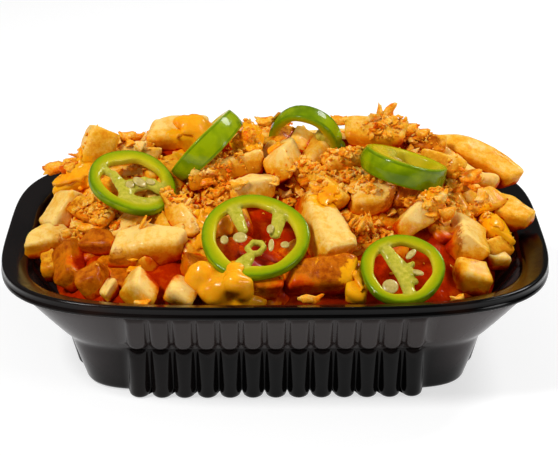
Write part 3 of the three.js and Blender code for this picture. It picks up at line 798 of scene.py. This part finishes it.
def makeCore():
    rows = []
    for k in range(core["rings"] + 1):
        span = 1 - k / core["rings"] * 0.99
        angle = np.linspace(0, 2 * math.pi, core["spokes"], endpoint=False)
        c, s = np.cos(angle), np.sin(angle)
        x = core["a"] * span * np.sign(c) * np.abs(c) ** (2 / core["n"])
        y = core["b"] * span * np.sign(s) * np.abs(s) ** (2 / core["n"])
        rows.append(np.stack([x, y, np.maximum(core["rim"], heapTop(x, y) - core["depth"])], 1))
    foot = rows[0] * (core["foot"], core["foot"], 0) + (0, 0, core["floor"])
    points = np.concatenate([foot] + rows)
    raised = np.arange(len(points)) >= core["spokes"]
    for relief, size in zip(core["relief"], (7, 2.5)):
        points[:, 2] += raised * relief * blobNoise(points, size, 41)
    faces = gridFaces(core["rings"] + 2, core["spokes"])
    faces.append(tuple(range(core["spokes"] - 1, -1, -1)))
    faces.append(tuple(len(points) - core["spokes"] + i for i in range(core["spokes"])))
    return pushClear(points), faces


def spicedCore():
    material, tree, shader = newMaterial("spicedCore", {
        "Subsurface Weight": 0.1, "Subsurface Radius": (1, 0.2, 0.05), "Subsurface Scale": 0.002,
        "Coat Weight": 0.03, "Coat Roughness": 0.04, "Roughness": 0.5, "Specular IOR Level": 0.0,
    })
    parts = addNode(tree, "ShaderNodeSeparateXYZ", {0: place(tree)}).outputs
    # Painted shade: darker towards the front rim
    rimShade = sharpen(tree, parts["Y"], -0.049, -0.057, 0, 0.9)
    colour = blend(tree, rimShade, ramp(tree, speckle(tree, 4, 5), core["colours"]), core["rimShadeColour"])
    plug(tree, shader, {"Base Color": colour})
    bump(tree, shader, speckle(tree, 1.4, 4), 0.5, 0.5)
    return material


corePoints, coreFaces = makeCore()
makePiece("spicedCoreHeap", corePoints, coreFaces, spicedCore(), replaces=["fries"])


def surfaceTree(*piles):  # everything so far, to lay sauce and crumbs on
    together = Pile()
    for pile in piles:
        together.add(np.concatenate(pile.points), pile.faces)
    together.add(corePoints, coreFaces)
    return BVHTree.FromPolygons([Vector(p) for p in np.concatenate(together.points)], together.faces)


foodSurface = surfaceTree(shownPile, deepPile)
print("core made")

potatoMaterial = friedPotato()
for pile, name, which in ((shownPile, "topFries", "top"), (deepPile, "deepFries", "deep")):
    points = np.concatenate(pile.points)
    # deep holds painted shade where a surface is hidden from the sky, together with the oil sauce patches
    gapShade = 1 - skyView(points, np.concatenate(outwards[which]), foodSurface)
    pile.marks["deep"] = [np.maximum(gapShade, 0.9 * np.concatenate(pile.marks["oil"]))]
    pile.piece(name, potatoMaterial, "fried_potato", replaces=["fries"])
print("fries made")


# Melted cheese that lies over the fries and bridges the gaps between them

cheese = {
    "spacing": 1.8, "voxel": 0.5, "smoothing": 26, "sag": 2, "lowest": 36, "above": 40,
    "drapes": [  # middle, half sizes, turn in degrees, thickness, way it falls
        ((-18.5, -53), (8, 6.5), 14, 7.2, (0, 0.62, -0.78)),
        ((-12.5, -59), (7.5, 4.4), -12, 6, (0, 0.62, -0.78)),
        ((-3.5, -60.5), (4.5, 2.4), -25, 3, (0, 0.62, -0.78)),
        ((-21, -29), (6, 7), 20, 2.8, (0, 0.5, -0.86)),
        ((-24, -37), (3.5, 5), 0, 2.2, (0, 0.5, -0.86)), ((-9, 5), (5, 6), 0, 2.6, (0, 0.4, -0.9)),
        ((-1, 3), (4.5, 3), 30, 2.4, (0, 0.3, -0.95)), ((-72, 4), (6.5, 6), 35, 2.6, (0.2, 0.3, -0.93)),
        ((-66, 0), (4, 5), 20, 2.2, (0.2, 0.3, -0.93)), ((55, -20), (5, 4), 30, 2.2, (0, 0.4, -0.9)),
        ((77, -14), (3, 5), 10, 2, (-0.2, 0.45, -0.87)), ((27.5, -53), (1.8, 6), 4, 2, (0, 0.6, -0.8)),
        ((-29, 14), (6, 5), 0, 3, (0, 0.3, -0.95)), ((18, -21), (4, 5), -20, 1.9, (0, 0.4, -0.9)),
        ((31, -13), (3, 2), 0, 1.8, (0, 0.4, -0.9)), ((66, -50), (3, 2), 0, 1.8, (0, 0.6, -0.8)),
        ((-48, -44), (3, 3), 0, 1.8, (0, 0.6, -0.8)),
    ],
    "colours": [(0.22, (0.92, 0.23, 0.002)), (0.44, (1.0, 0.37, 0.004)), (0.75, (1.0, 0.46, 0.012))],
    "roughness": (0.14, 0.3),
}


def drapeBalls(middle, halfSizes, turn, thickness, fall, index):  # centres and radii of balls of sauce
    fall = unit(fall)
    right = unit(np.cross(fall, (0, 1, 0)))
    up = np.cross(right, fall)
    start = np.array((*middle, float(heapTop(*middle)))) - fall * cheese["above"]
    spin = math.radians(turn)
    gap = cheese["spacing"]
    found = []
    for row, v in enumerate(np.arange(-halfSizes[1], halfSizes[1] + 0.1, gap * 0.86)):  # staggered rows
        for u in np.arange(-halfSizes[0], halfSizes[0] + 0.1, gap) + gap / 2 * (row % 2):
            angle = math.atan2(v / halfSizes[1], u / halfSizes[0])
            edge = 1 + 0.2 * math.sin(3 * angle + index) + 0.12 * math.sin(5 * angle + 2.1 * index)
            out = math.hypot(u / halfSizes[0], v / halfSizes[1]) / edge
            if out > 1:
                continue
            x, y = u * math.cos(spin) - v * math.sin(spin), u * math.sin(spin) + v * math.cos(spin)
            origin = start + x * right + y * up
            hit = foodSurface.ray_cast(Vector(origin), Vector(fall))
            if hit[0] is not None:
                found.append((origin, hit[3], thickness * (0.5 + 0.5 * math.sqrt(1 - out ** 2))))
    usual = np.median([reach for _, reach, _ in found])
    balls = [(origin + fall * (min(reach, usual + cheese["sag"]) - size * 0.35), size * 0.62)
             for origin, reach, size in found if reach < usual + cheese["sag"] * 2.2]
    return [(centre, size) for centre, size in balls if centre[2] > cheese["lowest"]]


def meltedCheese():
    material, tree, shader = newMaterial("meltedCheese", {
        "Subsurface Weight": 0.25, "Subsurface Radius": (1, 0.35, 0.05), "Subsurface Scale": 0.002,
        "Coat Weight": 0.2, "Coat Roughness": 0.06, "IOR": 1.42, "Specular IOR Level": 0.15,
    })
    plug(tree, shader, {
        "Base Color": ramp(tree, speckle(tree, 5, 4), cheese["colours"]),
        "Roughness": sharpen(tree, speckle(tree, 2, 3), 0.3, 0.7, *cheese["roughness"]),
    })
    bump(tree, shader, speckle(tree, 1.8, 3), 0.3, 0.25)
    return material


roughCheese, cheesePile = Pile(), Pile()
for index, drape in enumerate(cheese["drapes"]):
    for middle, radius in drapeBalls(*drape, index):
        roughCheese.add(ball * radius * (1 + 0.15 * math.sin(middle[0] * 2 + middle[1])) + middle, ballFaces)
points, faces = fuse("roughCheese", np.concatenate(roughCheese.points), roughCheese.faces,
                     cheese["voxel"], cheese["smoothing"])
cheesePile.add(pushClear(points, 0.25), faces)
cheesePile.piece("meltedCheese", meltedCheese(), "fried_potato")
foodSurface = surfaceTree(shownPile, deepPile, cheesePile)
print("cheese made")


# Crisp crumbs and larger flakes

crumbs = {
    "smallest": 0.45, "kinds": 9, "lowest": 38, "room": (84, 63), "slanted": (0, 0.62, -0.78),
    "drifts": [  # middle, half sizes, how many, largest radius
        ((-20, 0), (14, 9), 210, 1.3), ((-22, -13), (12, 7), 157, 1.3), ((20, -2), (15, 9), 227, 1.4),
        ((40, -14), (16, 6), 140, 1.3), ((64, -8), (11, 10), 157, 1.3), ((-63, -20), (9, 6), 122, 1.3),
        ((-70, 9), (7, 4), 43, 1.3), ((-33, -18), (9, 5), 70, 1.2), ((30, -30), (9, 6), 87, 1.4),
        ((8, -14), (9, 8), 87, 1.2), ((53, -22), (8, 5), 52, 1.2), ((45, 16), (14, 6), 105, 1.4),
        ((15, -60), (20, 4), 43, 1.2), ((-40, 4), (16, 6), 87, 1.3), ((0, 38), (62, 15), 315, 1.4),
        ((0, -20), (75, 40), 105, 0.8),
    ],
    "clean": [  # places that stay almost bare: x, y, z and radius
        (-62, 9, 72, 10), (62, 24, 64, 9), (76, 22, 60, 11), (86, 15, 53, 8), (-43, -40, 50, 14),
        (-45, -55, 40, 10), (-33, -57, 39, 9), (-82, -19, 44, 9), (-75, -9, 49, 9), (-38, 13, 72, 10),
        (20, -35, 53, 9), (64, -30, 48, 9), (66, -45, 41, 10), (78, -27, 37, 8), (85, -4, 48, 9),
        (74, 5, 53, 7), (47, -27, 54, 7), (-8, -13, 65, 7), (6, 1, 70, 6), (-14, -60, 42, 11),
        (17, 9, 67, 8), (27, -57, 41, 6), (-61, -50, 40, 6), (-71, -38, 43, 6), (5.5, -19, 60, 6.5),
        (-66, 9, 76, 6), (67, -5, 53, 5),
    ],
    "bareChance": 0.07,
    "colours": [(0.08, (0.76, 0.11, 0.001)), (0.33, (0.90, 0.25, 0.003)), (0.62, (0.98, 0.44, 0.025)),
                (0.95, (1.0, 0.62, 0.2))],
    "roughness": (0.25, 0.5),
}
flakes = {
    "placed": [  # middle, half sizes, turn, tilt and roll
        ((40, 20, 76.5), (3.2, 1.6, 4.6), 20, 8, 12), ((-51.5, 11, 71.5), (4.2, 2.2, 2.6), 15, 30, 10),
        ((-79, 16, 58.5), (5.2, 3, 1.8), -20, 20, -20), ((-73, 14, 61), (3.6, 2.4, 1.6), 30, 20, -15),
        ((-58, 8, 67.5), (4.4, 2.8, 1.8), 20, 35, 0), ((-53, 6, 67), (3.4, 2.4, 1.8), -30, 25, 10),
        ((48, 18, 72), (4.5, 2.6, 1.8), 10, 20, 0), ((25, 20, 74.5), (4.6, 2.6, 1.6), -15, 10, 0),
        ((53, 17, 70.5), (3.6, 2.2, 1.8), 40, 20, 20), ((-2, 19, 74.5), (4.6, 3, 1.8), 0, 10, 0),
        ((29, -33, 54.6), (1.1, 1.3, 4.4), 0, 10, 25), ((32.5, -31, 54), (1, 1.2, 4.6), 0, -15, -20),
        ((26, -31, 55), (1, 1.2, 3.8), 0, 20, 40), ((-45, -34, 55.5), (1.2, 1.4, 4.2), 0, 10, 35),
        ((59, -23.5, 55.6), (3.2, 2.2, 2.6), 15, 30, 0), ((-60, -23, 53), (4, 2.4, 2), 60, 20, 0),
        ((69, 3, 59), (4.6, 3.2, 2), 20, 15, 0), ((-64, -25, 51), (4.2, 2, 1.6), -20, 30, 0),
        ((-71, -22, 48), (3.6, 2, 1.6), 20, 30, 20), ((11, -61, 40), (3.6, 1.6, 1.8), 10, 20, 0),
        ((-44.5, -61, 38.8), (2.6, 1.4, 1.2), 15, 10, 0), ((60, -58, 38.8), (2.6, 1.4, 1.4), 30, 10, 0),
    ],
    "kinds": 8, "strewn": 250, "size": (1.2, 3.0), "room": (84, 62),
}


def crumbShapes(level, count, seed, rough):  # a few ragged lumps
    ball, faces = ballShape(level)
    shapes = []
    for k in range(count):
        fine = 0.8 * blobNoise(ball, 0.3, seed + k + 50)
        x, y, z = (ball * (1 + rough * (blobNoise(ball, 0.62, seed + k) + fine))[:, None]).T
        curl = 0.5 * x ** 2 - 0.35 * y ** 2  # saddle, as thin crusts curl
        shapes.append(np.stack([x, y, z * 0.7 + curl + 0.2 * np.sin(4 * x + k)], 1))
    return shapes, faces


def turned(points, angles):
    a, b, c = angles
    spinZ = np.array([[math.cos(a), -math.sin(a), 0], [math.sin(a), math.cos(a), 0], [0, 0, 1]])
    tiltX = np.array([[1, 0, 0], [0, math.cos(b), -math.sin(b)], [0, math.sin(b), math.cos(b)]])
    spinY = np.array([[math.cos(c), 0, math.sin(c)], [0, 1, 0], [-math.sin(c), 0, math.cos(c)]])
    return points @ (spinZ @ tiltX @ spinY).T


def landing(x, y, slanted):  # where a crumb that falls there comes to rest
    fall = Vector(crumbs["slanted"] if slanted else (0, 0, -1))
    top = Vector((x, y, float(heapTop(x, y))))
    return foodSurface.ray_cast(top - fall * 30, fall)[0]


def around(middle, halfSizes, angle, out):
    return middle[0] + halfSizes[0] * out * math.cos(angle), middle[1] + halfSizes[1] * out * math.sin(angle)


def outside(x, y, room):
    return abs(x) > room[0] or abs(y) > room[1]


def noPlace(spot, size):  # missed the food, fell too low or would lie in a slice
    return spot is None or spot.z < crumbs["lowest"] or touchesSlice(spot, size)


def staysBare(spot, chance):
    near = any(math.dist(spot, (x, y, z)) < radius for x, y, z, radius in crumbs["clean"])
    return near and chance > crumbs["bareChance"]


def strewCrumbs():
    draw = np.random.default_rng(7)
    shapes, faces = crumbShapes(2, crumbs["kinds"], 70, 0.34)
    pile = Pile()
    for middle, halfSizes, count, largest in crumbs["drifts"]:
        for _ in range(count):
            angle, out = draw.uniform(0, 2 * math.pi), math.sqrt(draw.uniform(0, 1.25))
            x, y = around(middle, halfSizes, angle, out)
            if outside(x, y, crumbs["room"]):
                continue
            size = crumbs["smallest"] + (largest - crumbs["smallest"]) * draw.random() ** 2
            spot = landing(x, y, draw.random() < 0.55)
            if noPlace(spot, size * 1.1) or staysBare(spot, draw.random()):
                continue
            stretch = size * np.array([draw.uniform(*span) for span in ((0.8, 1.35), (0.6, 1), (0.45, 0.8))])
            lump = turned(shapes[int(draw.integers(len(shapes)))] * stretch, draw.uniform(0, 6.28, 3))
            # Painted light: each crumb paler on its top and darker underneath
            tone = np.clip(draw.normal(0.5, 0.13) + 0.14 * lump[:, 2] / size, 0, 1)
            rise = size * 0.2 + max(0, 1 - out ** 2) * draw.random() * 1.6
            pile.add(lump + np.array(spot) + (0, 0, rise), faces, tone=tone)
    return pile


def strewFlakes():
    draw = np.random.default_rng(19)
    shapes, faces = crumbShapes(3, flakes["kinds"], 90, 0.42)
    pile = Pile()
    for index, (spot, halfSizes, *angles) in enumerate(flakes["placed"]):
        lump = turned(shapes[index % len(shapes)] * np.array(halfSizes), np.radians(angles))
        tone = np.clip(0.42 + 0.4 * blobNoise(lump, 2.5, 95), 0, 1)
        pile.add(pushClear(lump + np.array(spot)), faces, tone=tone)
    drifts = crumbs["drifts"][:-2]
    for _ in range(flakes["strewn"]):
        middle, halfSizes = drifts[int(draw.integers(len(drifts)))][:2]
        angle, out = draw.uniform(0, 2 * math.pi), math.sqrt(draw.random())
        x, y = around(middle, halfSizes, angle, out)
        size = draw.uniform(*flakes["size"])
        spot = landing(x, y, draw.random() < 0.4)
        if outside(x, y, flakes["room"]) or noPlace(spot, size) or staysBare(spot, draw.random()):
            continue
        stretch = size * np.array([1, draw.uniform(0.55, 0.9), draw.uniform(0.35, 0.65)])
        angles = (draw.uniform(0, 6.28), draw.uniform(-0.6, 0.6), draw.uniform(-0.6, 0.6))
        lump = turned(shapes[int(draw.integers(len(shapes)))] * stretch, angles)
        tone = np.clip(draw.normal(0.5, 0.19) + 0.28 * blobNoise(lump + x, 2, 96), 0, 1)
        pile.add(lump + np.array(spot) + (0, 0, size * 0.15), faces, tone=tone)
    return pile


def crispCrumb():
    material, tree, shader = newMaterial("crispCrumb", {
        "Subsurface Weight": 0.3, "Subsurface Radius": (1, 0.35, 0.08), "Subsurface Scale": 0.0016,
        "Coat Weight": 0.08, "Coat Roughness": 0.15, "Specular IOR Level": 0.05,
    })
    tone = plus(tree, mark(tree, "tone"), sharpen(tree, speckle(tree, 0.8, 4), 0.25, 0.75, -0.2, 0.2))
    plug(tree, shader, {
        "Base Color": ramp(tree, tone, crumbs["colours"]),
        "Roughness": sharpen(tree, speckle(tree, 1.2, 3), 0.3, 0.7, *crumbs["roughness"]),
    })
    bump(tree, shader, speckle(tree, 0.6, 3), 0.25, 0.15)
    return material


crumbMaterial = crispCrumb()
strewCrumbs().piece("crispCrumbs", crumbMaterial, "fried_potato")
strewFlakes().piece("crispFlakes", crumbMaterial, "fried_potato")
print("crumbs made")


# Slices of green pepper with ribs, pith and seeds

# Wall, turn of the three faint lobes, ribs as x, y and width along their run,
# seeds as x, y, height, radius, stretch and turn
pepper = {
    "left": {
        "wall": 4.4, "turn": 1.3,
        "ribs": [
            [(-11, 3.5, 3.4), (-7, 1.5, 3.4), (-4.2, -2.2, 4.8), (-1.8, -5.4, 6)],
            [(-1.8, -5.4, 5.4), (0.2, -1.4, 6), (4, 0.8, 6.4), (7, 1.2, 5.8), (11.3, -0.6, 5.6)],
            [(-1.8, -5.4, 5.4), (-1.6, -9, 6), (2.5, -9.9, 6.6), (6.6, -9.2, 6), (10.3, -6, 4.8)],
        ],
        "seeds": [(2.2, -0.8, 1.7, 2.2, 1.25, 40), (-1, -3, 1.5, 1.5, 1.2, 110),
                  (6, 0.6, 1.5, 1.3, 1.3, 10)],
    },
    "edge": {
        "wall": 3.8, "turn": 0.2, "wedge": (0.13, 0.3), "skinned": 3.5, "sunlit": 0.12,
        "ribs": [[(-2.5, 12, 3), (0, 0, 3.6), (2.5, -12, 3)]], "seeds": [(3.4, 2, 3.2, 2, 1.2, 30)],
    },
    "back": {
        "wall": 3.4, "turn": 0.9,
        "ribs": [[(11.2, -1.5, 5.6), (8.6, -2.2, 5.8), (6.6, 0.2, 4.6)],
                 [(10.2, -6.4, 6), (7.6, -5.4, 5.2)], [(-6, -8, 3.6), (-3.4, -5.5, 3)]],
        "seeds": [(-2.4, -3, 1, 1.9, 1.2, 0)],
    },
    "centre": {
        "wall": 4.4, "turn": 0,
        "ribs": [[(-6.8, 12, 5.4), (-5.4, 7.6, 4.4), (-4, 3.4, 3.8)],
                 [(8.9, 12, 6), (8, 6.6, 5), (6.8, 1.4, 4.2)],
                 [(-4.4, -12.5, 6), (-2.6, -9.8, 5), (-1, -7.6, 2.6)],
                 [(-1, -7.6, 2), (-2.6, -5, 2), (-0.6, -2.2, 2), (2.2, -2.6, 2), (3.2, -4.6, 2),
                  (1.4, -7, 2), (-1, -7.6, 2)]],
        "seeds": [(-4.9, -1.4, 1.6, 2.45, 1, 0), (5.5, -4.6, 1.3, 2.7, 0.36, 4),
                  (-10.2, 0, -1.3, 1.8, 0.8, 0), (10.2, -2.2, -1.3, 1.6, 1, 0), (5.2, 2, 1.9, 2, 0.6, 8)],
    },
    "right": {
        "wall": 3, "turn": 0.3, "wallGrowth": 2.6,
        "ribs": [[(-4.6, 6.5, 3.4), (-4, 1.5, 4.4), (-4.8, -4.5, 3.4)]],
        "seeds": [(-3.4, -2.6, 2.8, 1.6, 1.2, 40)],
    },
    "front": {
        "wall": 3.7, "turn": 0.31,
        "ribs": [[(-6, 9.6, 4.4), (-4, 6, 5), (-1.2, 1.6, 6.2), (0.8, -2.5, 6.4), (1.6, -8, 4.4),
                  (2.4, -11.5, 4.8)],
                 [(1.5, 1, 3), (3.4, 2.2, 2)], [(2, -0.6, 3), (4.8, -1.4, 1.8), (6, -1.2, 1)],
                 [(1.4, -3, 3.4), (4.2, -4.8, 2)]],
        "seeds": [(3, 5, 2, 2.7, 0.42, 38), (5, -2.4, 1.9, 2, 0.5, 110), (-4.4, -7.6, 1.3, 2.7, 1, 0),
                  (-9.2, -7.6, 0.9, 2.6, 0.3, 12)],
    },
    "voxel": 0.34, "columns": 110, "ribHeight": 0.86,
    "section": [  # cut through the wall, as shares of its width and of half the thickness
        (1, -0.8), (1.05, -0.4), (1.075, 0), (1.05, 0.4), (1, 0.8), (0.965, 0.97), (0.88, 1), (0.5, 1.01),
        (0.22, 0.96), (0.06, 0.82), (0, 0.5), (-0.02, 0), (0, -0.5), (0.06, -0.82), (0.22, -0.96),
        (0.5, -1.01), (0.88, -1), (0.965, -0.97),
    ],
    "flesh": [(0.0, (0.12, 0.20, 0.0002)), (0.09, (0.17, 0.265, 0.0002)), (0.22, (0.25, 0.335, 0.0003)),
              (0.5, (0.36, 0.365, 0.0006)), (0.8, (0.50, 0.44, 0.003)), (1.0, (0.62, 0.51, 0.02))],
    "skin": [(0.36, (0.10, 0.175, 0.0002)), (0.5, (0.175, 0.265, 0.0002)), (0.64, (0.29, 0.38, 0.0003))],
    "pith": [(0.3, (0.34, 0.33, 0.01)), (0.7, (0.62, 0.52, 0.07))],
    "seed": [(0.3, (0.43, 0.32, 0.06)), (0.7, (0.64, 0.50, 0.16))],
    "roughness": (0.16, 0.3),
}


def sliceOutline(name, angle):
    radius, turn = slices[name][2], pepper[name]["turn"]
    return radius * (1 + 0.02 * np.cos(3 * (angle - turn)) + 0.008 * np.sin(5 * angle + turn))


def makeSlice(name):
    own, (radius, thickness) = pepper[name], slices[name][2:]
    wall, half, columns = own["wall"], thickness / 2, pepper["columns"]
    pile = Pile()
    angle = np.linspace(0, 2 * math.pi, columns, endpoint=False)
    outer = sliceOutline(name, angle)
    growth = 1 + own.get("wallGrowth", 0) * step(0.3, -1, np.cos(angle))  # thicker towards the pepper's tip
    inner = outer - wall * growth * (1 + 0.1 * np.sin(2 * angle + 1 + radius) + 0.06 * np.sin(7 * angle))
    rows = []
    for out, high in pepper["section"]:
        r = inner + (outer - inner) * out
        rows.append(np.stack([r * np.cos(angle), r * np.sin(angle), np.full(columns, high * half)], 1))
    pile.add(np.concatenate(rows + rows[:1]), gridFaces(len(rows) + 1, columns))
    spine = []  # balls strung along the ribs
    for run in own["ribs"]:
        for (x0, y0, w0), (x1, y1, w1) in zip(run, run[1:]):
            for t in np.linspace(0, 1, max(3, int(math.hypot(x1 - x0, y1 - y0) / 0.7))):
                x, y, w = x0 + (x1 - x0) * t, y0 + (y1 - y0) * t, w0 + (w1 - w0) * t
                spine.append((x, y, w / 2))
                pile.add(ball * (w / 2, w / 2, half * pepper["ribHeight"]) + (x, y, 0), ballFaces)
    points, faces = fuse(name + "Rough", np.concatenate(pile.points), pile.faces, pepper["voxel"], 5)
    spine = np.array(spine)
    reach = np.hypot(points[:, 0], points[:, 1])
    depth = (sliceOutline(name, np.arctan2(points[:, 1], points[:, 0])) - reach) / wall
    away = np.hypot(points[:, None, 0] - spine[None, :, 0], points[:, None, 1] - spine[None, :, 1])
    pith = step(1.6, -0.4, np.min(away - spine[None, :, 2], axis=1)) * step(0.35, 1.1, depth)
    lumps = (0.34 * pith * blobNoise(points, 1.7, 77))[:, None]
    points = points + lumps * np.sign(points[:, 2:]) * (0, 0, 1)
    lean, droop = own.get("wedge", (0, 0))  # thinner towards its ends
    points[:, 2] *= 1 + lean * points[:, 0] / radius - droop * (points[:, 0] / radius) ** 2
    sunlit = np.full(len(points), own.get("sunlit", 0.0))
    rind = depth * own.get("skinned", 1)  # more where the green skin is thin
    return points, faces, {"rind": rind, "pith": pith, "sunlit": sunlit}


def greenPepper():
    material, tree, shader = newMaterial("greenPepper", {
        "Subsurface Weight": 0.12, "Subsurface Radius": (0.9, 1, 0.1), "Subsurface Scale": 0.0014,
        "Coat Weight": 0.25, "Coat Roughness": 0.05, "IOR": 1.4, "Specular IOR Level": 0.08,
    })
    rind = plus(tree, mark(tree, "rind"), sharpen(tree, speckle(tree, 2.4, 4), 0.25, 0.75, -0.05, 0.05))
    skin = ramp(tree, plus(tree, speckle(tree, 9, 2), mark(tree, "sunlit")), pepper["skin"])
    outermost = sharpen(tree, mark(tree, "rind"), 0.01, -0.03, 0, 1)
    colour = blend(tree, outermost, ramp(tree, rind, pepper["flesh"]), skin)
    pith = sharpen(tree, mark(tree, "pith"), 0.1, 0.9, 0, 0.92)
    plug(tree, shader, {
        "Base Color": blend(tree, pith, colour, ramp(tree, speckle(tree, 1.6, 4), pepper["pith"])),
        "Roughness": sharpen(tree, speckle(tree, 1.5, 3), 0.3, 0.7, *pepper["roughness"]),
    })
    bump(tree, shader, speckle(tree, 1.1, 3), 0.25, 0.2)
    return material


def paleSeed():
    material, tree, shader = newMaterial("paleSeed", {
        "Subsurface Weight": 0.3, "Subsurface Radius": (1, 0.8, 0.3), "Subsurface Scale": 0.001,
        "Roughness": 0.32, "Coat Weight": 0.25, "Coat Roughness": 0.1,
    })
    plug(tree, shader, {"Base Color": ramp(tree, speckle(tree, 1.4, 3), pepper["seed"])})
    bump(tree, shader, speckle(tree, 0.8, 2), 0.3, 0.1)
    return material


pepperMaterial = greenPepper()
seedPile = Pile()
seedBall, seedFaces = ballShape(3)
seedDent = 1 - 0.35 * step(0.75, 0.2, np.hypot(seedBall[:, 0], seedBall[:, 1]))  # faint, in the middle
for name, (middle, *_) in slices.items():
    axes = sliceAxes(name)
    points, faces, marks = makeSlice(name)
    makePiece("pepperSlice" + name.capitalize(), points @ axes + np.array(middle), faces, pepperMaterial,
              marks, replaces=["pepper_ring_" + name])
    for index, (x, y, high, size, stretch, turn) in enumerate(pepper[name]["seeds"]):
        disc = seedBall * (stretch * size, size, size * 0.3)
        disc[:, 2] *= seedDent
        disc = turned(disc, (math.radians(-turn), 0.12 * (index % 3 - 1), 0)) + (x, y, high)
        seedPile.add(disc @ axes + np.array(middle), seedFaces)
seedPile.piece("pepperSeeds", paleSeed(), "green_pepper")
print("pepper slices made")
